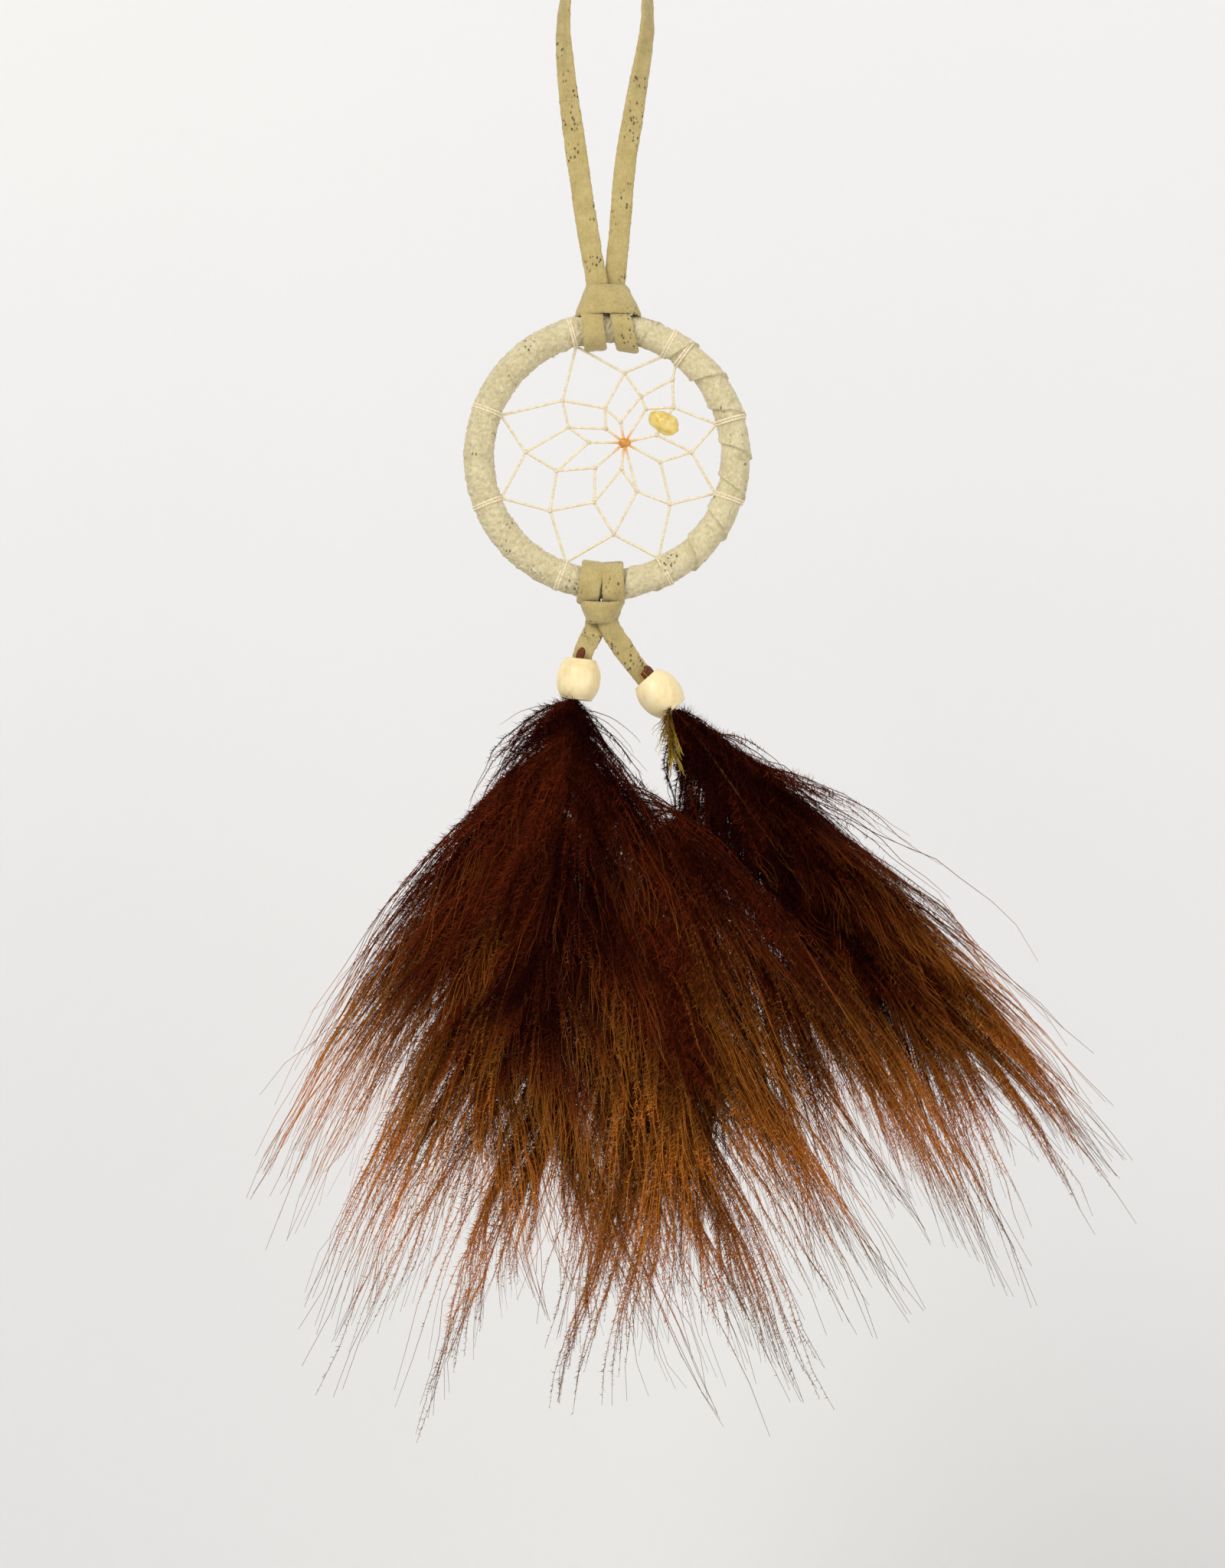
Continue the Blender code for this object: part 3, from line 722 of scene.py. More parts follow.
LINKS = (
    ("outer_8", "top", "outer_1", "top_right", "start"),
    ("top_right", "above_chip", "outer_2", "below_chip", "outer_3", "right", "outer_4"),
    ("outer_4", "low_right", "outer_5", "low_left", "outer_6", "left", "outer_7"),
    ("outer_7", "top_left", "outer_8"),
    ("top_right", "inner_top_right", "top", "inner_top", "top_left", "inner_left", "left"),
    ("left", "inner_low_left", "low_left", "inner_low", "low_right", "hub"),
    ("above_chip", "hub", "below_chip"),
    ("right", "hub", "inner_low"),
    ("inner_low_left", "hub", "inner_left"),
    ("inner_top", "hub", "inner_top_right"),
)


def on_hoop(share, angle):
    turn = radians(angle)
    return HOOP_CENTRE + Vector((cos(turn), 0, sin(turn))) * share * HOLE_RADIUS


def ring_of(centre, first, second, radius, steps):
    """A closed turn of thread, as the points of a circle in the plane of two directions."""
    return [
        centre + (first * cos(2 * pi * i / steps) + second * sin(2 * pi * i / steps)) * radius
        for i in range(steps + 1)
    ]


knots = {f"outer_{i + 1}": on_hoop(*place) for i, place in enumerate(OUTER_KNOTS)}
knots.update({name: on_hoop(*place) for name, place in INNER_KNOTS.items()})
inner_edge = (RING_RADIUS - HITCH_RING) / HOLE_RADIUS
hitches = [on_hoop(inner_edge, angle) for angle in HITCHES]
threads = []
for number, (first, second) in enumerate(OUTER_SPANS):
    middle = [knots["start"]] if number == 1 else []
    chain = [hitches[first], *middle, knots[f"outer_{number + 1}"], hitches[second]]
    threads += [list(pair) for pair in zip(chain, chain[1:])]
for names in LINKS:
    chain = [knots[name] for name in names]
    threads += [list(pair) for pair in zip(chain, chain[1:])]
for angle in HITCHES:
    out = Vector((cos(radians(angle)), 0, sin(radians(angle))))
    across = out.cross(DEPTH)
    centre = HOOP_CENTRE + out * RING_RADIUS
    for shift in (-HITCH_SPACING / 2, HITCH_SPACING / 2):
        threads.append(ring_of(centre + across * shift, out, DEPTH, HITCH_RING, 40))
for name, place in knots.items():
    out = (place - HOOP_CENTRE).normalized()
    across = out.cross(DEPTH)
    for i, (first, second) in enumerate(((out, DEPTH), (across + out * 0.4, DEPTH + out * 0.3))):
        threads.append(ring_of(place, first.normalized(), second.normalized(), THREAD_RADIUS, 10))


def thread_tree():
    """Lays a twisted thread of two plies along every line of points."""
    tree, given, identifiers = new_tree(
        "two_ply", {"Radius": "Float", "Twist": "Float", "Finish": "Material"}
    )
    lines = add(tree, "GeometryNodeMeshToCurve", {0: given["Geometry"]}).outputs[0]
    stretch = add(tree, "GeometryNodeResampleCurve", {"Curve": lines, "Length": 0.00024}, mode="LENGTH")
    length = Field(add(tree, "GeometryNodeSplineParameter").outputs["Length"])
    tilt = length / given["Twist"] * (2 * pi)
    turned = add(tree, "GeometryNodeSetCurveTilt", {"Curve": stretch.outputs[0], "Tilt": tilt}).outputs[0]
    circle = add(tree, "GeometryNodeCurvePrimitiveCircle", {"Resolution": 12, "Radius": 1.0}).outputs[0]
    place = Field(add(tree, "GeometryNodeInputPosition").outputs[0])
    side = Field(add(tree, "ShaderNodeSeparateXYZ", {0: place}).outputs[0])
    plies = place * (0.68 + side.math("ABSOLUTE") * 0.32)
    profile = add(tree, "GeometryNodeSetPosition", {"Geometry": circle, "Position": plies}).outputs[0]
    swept = add(
        tree,
        "GeometryNodeCurveToMesh",
        {"Curve": turned, "Profile Curve": profile, "Scale": given["Radius"], "Fill Caps": True},
    )
    smooth = add(tree, "GeometryNodeSetShadeSmooth", {"Geometry": swept.outputs[0]})
    finish_tree(tree, smooth.outputs[0], given["Finish"])
    return tree, identifiers


def thread_material():
    made, tree, shader = new_material("waxed_thread")
    wax = noise_field(tree, object_place(tree), 1500, detail=3)
    colours = colour_ramp(tree, wax, (0.3, (0.70, 0.57, 0.35)), (0.7, (0.90, 0.81, 0.58)))
    from_hub = (object_place(tree) - knots["hub"]).math("LENGTH", output=1)
    stained = mix_colour(tree, from_hub.step(0.0042, 0.0012), colours, (0.80, 0.42, 0.10, 1))
    connect(tree, shader.inputs["Base Color"], stained)
    connect(tree, shader.inputs["Roughness"], 0.45 + wax * 0.3)
    bump(tree, shader, wax, 0.0001, 0.4)
    return made


def amber_material():
    made, tree, shader = new_material("amber_glue")
    cloud = noise_field(tree, object_place(tree), 900, detail=2)
    colours = colour_ramp(tree, cloud, (0.3, (0.62, 0.22, 0.03)), (0.7, (0.85, 0.42, 0.08)))
    connect(tree, shader.inputs["Base Color"], colours)
    connect(tree, shader.inputs["Roughness"], 0.12 + cloud * 0.1)
    shader.inputs["Transmission Weight"].default_value = 0.25
    bump(tree, shader, cloud, 0.0001, 0.2)
    return made


points, edges = [], []
for thread in threads:
    edges += [(len(points) + i, len(points) + i + 1) for i in range(len(thread) - 1)]
    points += thread
web_base = bpy.data.meshes.new("web_lines")
web_base.from_pydata([tuple(point) for point in points], edges, [])
THREAD_TREE, THREAD_INPUTS = thread_tree()
web = grow("web", add_mesh("web_lines", web_base), THREAD_TREE, THREAD_INPUTS, Radius=THREAD_RADIUS,
           Twist=THREAD_TWIST, Finish=thread_material())
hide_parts("web_thread")
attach(web, "hoop")


def lump(name, radii, roughness, scale, turn, place, finish, fineness=4):
    """A small rounded piece with an uneven surface."""
    work = bmesh.new()
    bmesh.ops.create_icosphere(work, subdivisions=fineness, radius=1)
    for point in work.verts:
        uneven = 1 + roughness * noise.noise(point.co * scale + Vector((3.0, 1.0, 2.0)))
        point.co = turn @ (Vector(radii) * uneven * point.co) + place
    mesh = bpy.data.meshes.new(name)
    work.to_mesh(mesh)
    work.free()
    mesh.shade_smooth()
    return add_mesh(name, mesh, finish)


hub_dab = lump(
    "hub_dab", (0.0013, 0.0008, 0.0011), 0.25, 1.8, Matrix.Identity(3), knots["hub"], amber_material()
)
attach(hub_dab, "hoop")

# Stone chip: a nugget of yellow quartz, tumbled smooth and drilled through. It is threaded on the
# web's second row, at the upper right, and can turn there.

CHIP_RADII = (0.0035, 0.0023, 0.0025)
CHIP_SHARE = 0.57  # of the way along its stretch of thread
chip_run = knots["below_chip"] - knots["outer_2"]
chip_place = knots["outer_2"] + chip_run * CHIP_SHARE
chip_turn = Matrix.Rotation(atan2(chip_run.x, chip_run.z), 3, "Y")


def chip_material():
    made, tree, shader = new_material("yellow_stone")
    cloud = noise_field(tree, object_place(tree), 420, detail=5, roughness=0.65)
    flaw = noise_field(tree, object_place(tree, (1, 1, 3.5)), 700, detail=2)
    colours = colour_ramp(tree, cloud, (0.25, (0.80, 0.50, 0.07)), (0.5, (0.93, 0.72, 0.20)),
                          (0.75, (0.98, 0.86, 0.42)))
    pale = mix_colour(tree, flaw.step(0.60, 0.72) * 0.6, colours, (1.0, 0.95, 0.75, 1))
    connect(tree, shader.inputs["Base Color"], pale)
    connect(tree, shader.inputs["Roughness"], 0.10 + flaw * 0.15)
    shader.inputs["Transmission Weight"].default_value = 0.35
    shader.inputs["Subsurface Weight"].default_value = 0.3
    shader.inputs["Subsurface Radius"].default_value = (0.003, 0.002, 0.001)
    bump(tree, shader, flaw + cloud * 0.5, 0.0002, 0.25)
    return made


chip = lump("yellow_chip", CHIP_RADII, 0.16, 1.7, chip_turn, chip_place, chip_material(), 5)
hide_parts("stone_chip")
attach(chip, "stone")

# Beads: barrels of pale wood, turned and lightly polished, with a wide bore. Scratches and small
# dents show on them. A bead wedges its tail's lace and the quills of its feathers.

BEAD_HEIGHT = 0.0087
BEAD_RADIUS = (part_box("left_bead")[1][1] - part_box("left_bead")[0][1]) / 2
BEAD_END_RADIUS, BEAD_BORE = 0.0036, 0.0028
BEAD_LIP = 0.00045  # how far the rounded ends stand out
BEAD_TURNS = 96
BARREL_STEPS, LIP_STEPS, BORE_STEPS = 24, 8, 8
LEFT_BEAD, RIGHT_BEAD = (
    sum((Vector(corner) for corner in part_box(node)), Vector()) / 2 for node in ("left_bead", "right_bead")
)
LEFT_TILT, RIGHT_TILT = -6, 42  # degrees from straight down, to the right


def bead_profile():
    """Radius and height, down the outside, round the lower lip, up the bore and round the top."""
    outside = []
    for i in range(BARREL_STEPS + 1):
        share = 2 * i / BARREL_STEPS - 1
        radius = BEAD_RADIUS - (BEAD_RADIUS - BEAD_END_RADIUS) * abs(share) ** 2.4
        outside.append((radius, -share * (BEAD_HEIGHT / 2 - BEAD_LIP * 0.3)))
    ends = []
    half_wall = (BEAD_END_RADIUS - BEAD_BORE) / 2
    for i in range(1, LIP_STEPS):
        turn = pi * i / LIP_STEPS
        height = -BEAD_HEIGHT / 2 - BEAD_LIP * (sin(turn) - 0.3)
        ends.append((BEAD_BORE + half_wall * (1 + cos(turn)), height))
    bore = [(BEAD_BORE, BEAD_HEIGHT * (i / BORE_STEPS - 0.5)) for i in range(BORE_STEPS + 1)]
    return outside + ends + bore + [(radius, -height) for radius, height in reversed(ends)]


def turned_bead(name, place, tilt, finish):
    profile = bead_profile()
    turn = Matrix.Rotation(radians(-tilt), 3, "Y")
    points, faces = [], []
    for i in range(BEAD_TURNS):
        angle = 2 * pi * i / BEAD_TURNS
        for radius, height in profile:
            point = Vector((radius * cos(angle), radius * sin(angle), height))
            dent = noise.noise(point * 420) * 0.00007 + min(0, noise.noise(point * 900) + 0.35) * 0.0001
            out = Vector((point.x, point.y, 0)).normalized()
            points.append(turn @ (point + out * dent) + place)
    count = len(profile)
    for i in range(BEAD_TURNS):
        a, b = i * count, (i + 1) % BEAD_TURNS * count
        faces += [(a + k, a + (k + 1) % count, b + (k + 1) % count, b + k) for k in range(count)]
    piece = add_mesh(name, mesh_from(name, points, faces), finish)
    facing_out(piece)
    return piece


def bead_material(name, place, tilt):
    made, tree, shader = new_material(name)
    turn = (0, radians(tilt), 0)
    grain = noise_field(tree, object_place(tree, (1, 1, 0.12), turn, place), 1500, detail=4)
    cloud = noise_field(tree, object_place(tree), 260, detail=3)
    across_grain = object_place(tree, (0.25, 1, 3.0), turn, place)
    scratch = noise_field(tree, across_grain, 1100, detail=5, roughness=0.75)
    tone = grain * 0.3 + cloud * 0.7
    wood = colour_ramp(tree, tone, (0.30, (0.76, 0.57, 0.27)), (0.52, (0.87, 0.71, 0.39)),
                       (0.75, (0.93, 0.81, 0.53)))
    marks = scratch.step(0.66, 0.74)
    connect(tree, shader.inputs["Base Color"], mix_colour(tree, marks * 0.22, wood, (0.55, 0.38, 0.2, 1)))
    connect(tree, shader.inputs["Roughness"], 0.34 + grain * 0.22)
    shader.inputs["Subsurface Weight"].default_value = 0.08
    shader.inputs["Subsurface Radius"].default_value = (0.002, 0.0012, 0.0006)
    shader.inputs["Coat Weight"].default_value = 0.15
    shader.inputs["Coat Roughness"].default_value = 0.3
    bump(tree, shader, grain * 0.4 - marks, 0.0001, 0.35)
    return made


for side, place, tilt in (("left", LEFT_BEAD, LEFT_TILT), ("right", RIGHT_BEAD, RIGHT_TILT)):
    bead = turned_bead(side + "_wooden_bead", place, tilt, bead_material(side + "_wood", place, tilt))
    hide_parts(side + "_bead")
    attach(bead, side + "_bead")

# Tails: the two ends of the lower knot's tan lace. Each is squeezed narrower and pushed into its
# bead's bore, behind the quills of the feathers.

LACE_BEHIND = 0.0007  # the bore's middle
LACE_INTO_BEAD = 0.0006  # short of the bead's middle, where the lace ends
STRAIGHT_ABOVE_BEAD = 0.00105
BELOW_KNOT = 0.0009
TAIL_HALF_WIDTH, SQUEEZED_HALF_WIDTH = 0.0024, 0.0022


def facing(angle):
    """The direction in the plane of the front at this angle from straight down."""
    return Vector((sin(radians(angle)), 0, -cos(radians(angle))))


def tail_lace(side, knot_place, knot_depth, bead_place, tilt, aside):
    """One end of the lace, from its place in the knot into its bead. aside shifts it in the bore."""
    along = facing(tilt)
    end = bead_place + Vector((aside, LACE_BEHIND, 0)) - along * LACE_INTO_BEAD
    straight = end - along * (BEAD_HEIGHT / 2 + STRAIGHT_ABOVE_BEAD)
    top = Vector((knot_place, knot_depth, TAIL_FOOT - BELOW_KNOT))
    halfway = (top + straight) / 2 + (facing(0) - along) * 0.0004
    path = smooth_route([top + Vector((0, 0, 0.0032)), top, halfway, straight, end], 8)

    def surface(u, v):
        here, forward = along_path(path, u)
        across = DEPTH.cross(forward).normalized()
        squeezed = min(1, max(0, (u - 0.45) * 5))
        half = TAIL_HALF_WIDTH + (SQUEEZED_HALF_WIDTH - TAIL_HALF_WIDTH) * squeezed
        cup = DEPTH * 0.0002 * v * v
        return here + across * v * half * (1 + 0.04 * noise.noise(here * 260)) + cup

    name = side + "_tail_strip"
    strip = leather_sheet(name, surface, 110, 12, LACE_THICKNESS, tan_suede)
    strip = napped(strip, tan_suede, NAP_DENSITY, NAP_LENGTH, seed=8)
    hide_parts(side + "_tail_lace")
    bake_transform(strip)


tail_lace("left", -0.0026, STRAP_OFFSET, LEFT_BEAD, LEFT_TILT, 0.0004)
tail_lace("right", 0.0004, -STRAP_OFFSET, RIGHT_BEAD, RIGHT_TILT, 0)

# Feathers: soft dyed plumes, one piece each. A thin quill carries hundreds of barbs that sweep to
# its tip. Each barb is a fine tapered strand, fluffy with barbules from its root and bare at its
# end, and neighbours cling together in locks. The quills are wedged in the beads.

LAYER_STEP = 0.0006
QUILL_STATIONS = 40
QUILL_TIP = 0.0019  # how far a front feather's quill stands out of its bead's top
QUILL_TIPS_SEEN = 2
HIDDEN_TIP = -0.0004  # the other quills end this far below the bead's middle
SHAFT_SHARE = 0.66  # of a feather's length, and the barbs go on past it
BARB_POINTS = 11
BUNCH_DEPTH = 0.013  # no barb stands further than this from its root, to the front or back
BARB_RADIUS = 0.000105
BARBULE_HALF_WIDTH = 0.00011
QUILL_RADIUS = 0.00032
WORKING_ATTRIBUTES = (
    "root", "heading", "pull", "side", "long", "angle", "roll", "tone",
    "luck", "own", "along", "across", "tip", "shade", "part",
)

# The dark down and golden fluff are the plume's own dye, and the dark also stands for painted shade in the
# bunch's dense middle, the golden for painted glow of light through its thin outer barbs.
DOWN_DARK = (0.033, 0.0030, 0.0014)
DOWN_RED = (0.180, 0.030, 0.0065)
FLUFF_GOLD = (0.62, 0.235, 0.034)
HAIR_BROWN = (0.300, 0.112, 0.016)
HAIR_GREY = (0.150, 0.068, 0.015)
QUILL_PALE = (0.22, 0.095, 0.032)


def feather_material(name, dark, warm, golden, ends):
    """Its colours follow the map OFBake. Across it runs a mix of the place along a barb and the distance
    from the quill's foot: dark near the bunch's middle, partly the down's own colour and partly painted
    shade, then warmer and golden further out, partly painted glow of light through thin barbs, and the hair
    colours at the ends. Up it they go from dark down to golden barbs, with the quill along the top."""
    made, tree, shader = new_material(name)
    chart = add(tree, "ShaderNodeUVMap", uv_map="OFBake").outputs[0]
    parts = add(tree, "ShaderNodeSeparateXYZ", {0: chart})
    along, tone = Field(parts.outputs[0]), Field(parts.outputs[1])
    grain = noise_field(tree, Field(chart) * (26.0, 90.0, 1.0), 1.0, detail=2)
    hair, tip = ends
    # dark near the middle for painted shade, warm and golden further out for painted glow
    dull = colour_ramp(
        tree, along, (0.0, dark), (0.50, dark), (0.63, warm), (0.76, hair), (0.93, tip)
    )
    bright = colour_ramp(
        tree, along, (0.0, warm), (0.46, warm), (0.60, hair), (0.70, golden), (0.82, golden), (0.97, tip)
    )
    coat = mix_colour(tree, tone.step(0.12, 0.76), dull, bright)
    coat = mix_colour(tree, grain * 0.45, coat, warm + (1,), "SOFT_LIGHT")
    quill = colour_ramp(tree, along, (0.0, DOWN_RED), (0.35, QUILL_PALE), (1.0, QUILL_PALE))
    connect(tree, shader.inputs["Base Color"], mix_colour(tree, tone.step(0.955, 0.96), coat, quill))
    connect(tree, shader.inputs["Roughness"], 0.65 + grain * 0.25)
    shader.inputs["Specular IOR Level"].default_value = 0.05
    return made


def random_between(tree, low, high, seed, salt):
    """A number for each point. salt keeps the draws apart."""
    vector = isinstance(low, tuple)
    node = add(
        tree,
        "FunctionNodeRandomValue",
        {0 if vector else 2: low, 1 if vector else 3: high, "Seed": seed + salt},
        data_type="FLOAT_VECTOR" if vector else "FLOAT",
    )
    return Field(node.outputs[0 if vector else 1])


def store(tree, geometry, name, value, kind="FLOAT", domain="POINT"):
    node = add(
        tree,
        "GeometryNodeStoreNamedAttribute",
        {"Geometry": geometry, "Name": name, "Value": value},
        data_type=kind,
        domain=domain,
    )
    return node.outputs[0]


def stored(tree, name, kind="FLOAT"):
    return Field(add(tree, "GeometryNodeInputNamedAttribute", {"Name": name}, data_type=kind).outputs[0])


def feather_tree():
    """Grows a plume on a quill given as a line of points from its root to its tip."""
    tree, given, identifiers = new_tree(
        "soft_plume",
        {
            "Barbs": "Int",
            "Barbules": "Int",
            "Barb Length": "Float",
            "Spread": "Float",
            "Fluff": "Float",
            "Fluffy Share": "Float",
            "Locks": "Float",
            "Cling": "Float",
            "Wander": "Float",
            "Tone": "Float",
            "Backwards": "Float",
            "Droop": "Float",
            "Parting": "Float",
            "Reach": "Float",
            "Bare Share": "Float",
            "Seed": "Int",
            "Finish": "Material",
        },
    )
    seed = given["Seed"]
    quill = add(tree, "GeometryNodeMeshToCurve", {0: given["Geometry"]}).outputs[0]
    vane = add(tree, "GeometryNodeTrimCurve", {0: quill, 2: given["Bare Share"], 3: 1.0}).outputs[0]
    rooted = add(tree, "GeometryNodeResampleCurve", {"Curve": vane, "Count": given["Barbs"]}).outputs[0]
    share = Field(add(tree, "GeometryNodeSplineParameter").outputs["Factor"])
    tangent = Field(add(tree, "GeometryNodeInputTangent").outputs[0])
    place = Field(add(tree, "GeometryNodeInputPosition").outputs[0])
    index = Field(add(tree, "GeometryNodeInputIndex").outputs[0])
    side = index.math("MODULO", 2.0) * 2.0 - 1.0

    jitter = random_between(tree, -0.22, 0.22, seed, 1)
    lock = ((share * given["Locks"] + jitter).math("FLOOR") + 0.5) / given["Locks"]
    lock_root = add(
        tree, "GeometryNodeSampleCurve", {"Curves": vane, "Factor": lock.math("MINIMUM", 1.0)}, mode="FACTOR"
    ).outputs["Position"]
    lock_key = (lock * 977.0 + side * 13.0).math("ROUND")
    lock_luck = add(tree, "FunctionNodeRandomValue", {2: 0.0, 3: 1.0, "ID": lock_key, "Seed": seed + 2})
    luck = Field(lock_luck.outputs[1])
    own = random_between(tree, 0.0, 1.0, seed, 3)
    growth = share.step(-0.34, 0.45) * (1.0 - share.step(0.75, 1.3) * 0.35)
    length = given["Barb Length"] * growth * (0.56 + luck * 0.20 + own ** 2.0 * 0.66)
    angle = given["Spread"] * (1.30 - share * 0.75) * (0.75 + own * 0.25 + luck * 0.25)
    roll = given["Backwards"] + (luck - 0.5) * 1.3 + (own - 0.5) * 0.9
    scatter = add(
        tree,
        "FunctionNodeRandomValue",
        {0: (-1, -0.5, -1), 1: (1, 0.5, 1), "ID": lock_key, "Seed": seed + 8},
        data_type="FLOAT_VECTOR",
    ).outputs[0]
    uneven = random_between(tree, -0.2, 0.2, seed, 4)
    tone = given["Tone"] + (luck - 0.5) * 0.8 + uneven + share * 0.1

    geometry = rooted
    for name, value, kind in (
        ("root", place, "FLOAT_VECTOR"),
        ("heading", tangent, "FLOAT_VECTOR"),
        ("pull", Field(lock_root) - place, "FLOAT_VECTOR"),
        ("side", side, "FLOAT"),
        ("long", length, "FLOAT"),
        ("angle", angle, "FLOAT"),
        ("roll", roll, "FLOAT"),
        ("tone", tone.math("MAXIMUM", 0.02).math("MINIMUM", 0.93), "FLOAT"),
        ("luck", luck, "FLOAT"),
        ("part", Field(scatter), "FLOAT_VECTOR"),
        ("own", own, "FLOAT"),
    ):
        geometry = store(tree, geometry, name, value, kind)
    line = add(tree, "GeometryNodeCurvePrimitiveLine", {"End": (1, 0, 0)}).outputs[0]
    strand = add(tree, "GeometryNodeResampleCurve", {"Curve": line, "Count": BARB_POINTS}).outputs[0]
    placed = add(tree, "GeometryNodeInstanceOnPoints", {"Points": geometry, "Instance": strand}).outputs[0]
    loose = add(tree, "GeometryNodeRealizeInstances", {0: placed}).outputs[0]

    along = Field(add(tree, "GeometryNodeSplineParameter").outputs["Factor"])
    heading = stored(tree, "heading", "FLOAT_VECTOR")
    angle, roll = stored(tree, "angle"), stored(tree, "roll")
    flat = Field(heading).math("CROSS_PRODUCT", (0.0, 1.0, 0.0)).math("NORMALIZE")
    outward = flat * roll.math("COSINE") * stored(tree, "side") + roll.math("SINE") * Vector((0, 1, 0))
    start = heading * angle.math("COSINE") + outward * angle.math("SINE")
    late = angle * (stored(tree, "own") * 0.7 + 0.05)
    end = heading * late.math("COSINE") + outward * late.math("SINE")
    sideways = 1.0 + start.math("DOT_PRODUCT", (0.0, 0.0, 1.0), output=1)
    droop = sideways * given["Droop"] * stored(tree, "long") * along * along
    sweep = start * along + (end - start) * along * along * 0.5
    root = stored(tree, "root", "FLOAT_VECTOR")
    cling = given["Cling"] * along * along
    drift = noise_field(tree, root * 70.0 + along * 0.9 + seed * 3.7, 1.0, detail=2, output=1) - 0.5
    ripple = noise_field(tree, root * 900.0 + along * 2.4, 1.0, detail=1, output=1) - 0.5
    bent = (
        stored(tree, "pull", "FLOAT_VECTOR") * cling
        + sweep * stored(tree, "long")
        + droop * Vector((0, 0, -1))
        + stored(tree, "part", "FLOAT_VECTOR") * given["Parting"] * along
        + drift * given["Wander"] * along ** 1.4
        + ripple * given["Wander"] * 0.4 * along * along
    )
    parts = add(tree, "ShaderNodeSeparateXYZ", {0: bent})
    depth = Field(parts.outputs[1])
    pressed = depth / (1.0 + depth.math("ABSOLUTE") / BUNCH_DEPTH)
    flattened = add(tree, "ShaderNodeCombineXYZ", {0: parts.outputs[0], 1: pressed, 2: parts.outputs[2]})
    spot = root + Field(flattened.outputs[0])
    barbs = add(tree, "GeometryNodeSetPosition", {"Geometry": loose, "Position": spot}).outputs[0]
    barbs = store(tree, barbs, "along", along)
    # The stored shade runs from the quill's foot and a barb's root outwards: dark there for painted shade in
    # the bunch's middle, golden further out for painted glow of light through thin barbs.
    quill_foot = add(tree, "GeometryNodeSampleCurve", {"Curves": quill, "Factor": 0.0}, mode="FACTOR")
    reach = (place - quill_foot.outputs["Position"]).math("LENGTH", output=1) / given["Reach"]
    barbs = store(tree, barbs, "shade", (along * 0.42 + reach * 0.60).math("MINIMUM", 1.0))

    taper = BARB_RADIUS * (1.12 - along) ** 0.5 * (0.5 + stored(tree, "own") ** 2.0 * 0.8)
    profile = add(tree, "GeometryNodeCurvePrimitiveCircle", {"Resolution": 3, "Radius": 1.0}).outputs[0]
    profile = store(tree, profile, "across", index)
    hairs = add(
        tree, "GeometryNodeCurveToMesh", {"Curve": barbs, "Profile Curve": profile, "Scale": taper}
    ).outputs[0]
    chart = add(
        tree,
        "ShaderNodeCombineXYZ",
        {0: stored(tree, "shade") * 0.98 + 0.01, 1: stored(tree, "tone") + stored(tree, "across") * 0.003},
    ).outputs[0]
    hairs = store(tree, hairs, "OFBake", chart, "FLOAT2", "CORNER")

    fluffed = add(
        tree, "GeometryNodeResampleCurve", {"Curve": barbs, "Count": given["Barbules"]}
    ).outputs[0]
    along = Field(add(tree, "GeometryNodeSplineParameter").outputs["Factor"])
    fluffed = store(tree, fluffed, "along", along)
    bare_from = given["Fluffy Share"] * (0.75 + stored(tree, "luck") * 0.45)
    keep = along.math("LESS_THAN", bare_from + random_between(tree, -0.06, 0.06, seed, 5))
    aim = random_between(tree, (-1.0, -1.0, -1.0), (1.0, 1.0, 1.0), seed, 6)
    direction = tangent + aim * 1.5
    turn = add(tree, "FunctionNodeAlignRotationToVector", {"Vector": direction}, axis="X").outputs[0]
    size = (
        given["Fluff"]
        * (1.15 - (along / bare_from).math("MINIMUM", 1.0) ** 1.5 * 0.8)
        * random_between(tree, 0.45, 1.1, seed, 7)
    )
    blade_scale = add(tree, "ShaderNodeCombineXYZ", {0: size, 1: BARBULE_HALF_WIDTH, 2: 1.0}).outputs[0]
    blade = add(tree, "GeometryNodeMeshCircle", {"Vertices": 3}, fill_type="NGON").outputs[0]
    corner = add(
        tree,
        "ShaderNodeCombineXYZ",
        {
            0: index.math("LESS_THAN", 0.5),
            1: index.math("COMPARE", 1.0, 0.1) - index.math("COMPARE", 2.0, 0.1),
        },
    ).outputs[0]
    blade = add(tree, "GeometryNodeSetPosition", {"Geometry": blade, "Position": corner}).outputs[0]
    blade = store(tree, blade, "tip", Field(corner), "FLOAT_VECTOR")
    down = add(
        tree,
        "GeometryNodeInstanceOnPoints",
        {"Points": fluffed, "Selection": keep, "Instance": blade, "Rotation": turn, "Scale": blade_scale},
    ).outputs[0]
    down = add(tree, "GeometryNodeRealizeInstances", {0: down}).outputs[0]
    tip = add(tree, "ShaderNodeSeparateXYZ", {0: stored(tree, "tip", "FLOAT_VECTOR")})
    chart = add(
        tree,
        "ShaderNodeCombineXYZ",
        {
            0: stored(tree, "shade") * 0.93 + Field(tip.outputs[0]) * 0.05 + 0.01,
            1: stored(tree, "tone") + Field(tip.outputs[1]) * 0.003 + 0.004,
        },
    ).outputs[0]
    down = store(tree, down, "OFBake", chart, "FLOAT2", "CORNER")

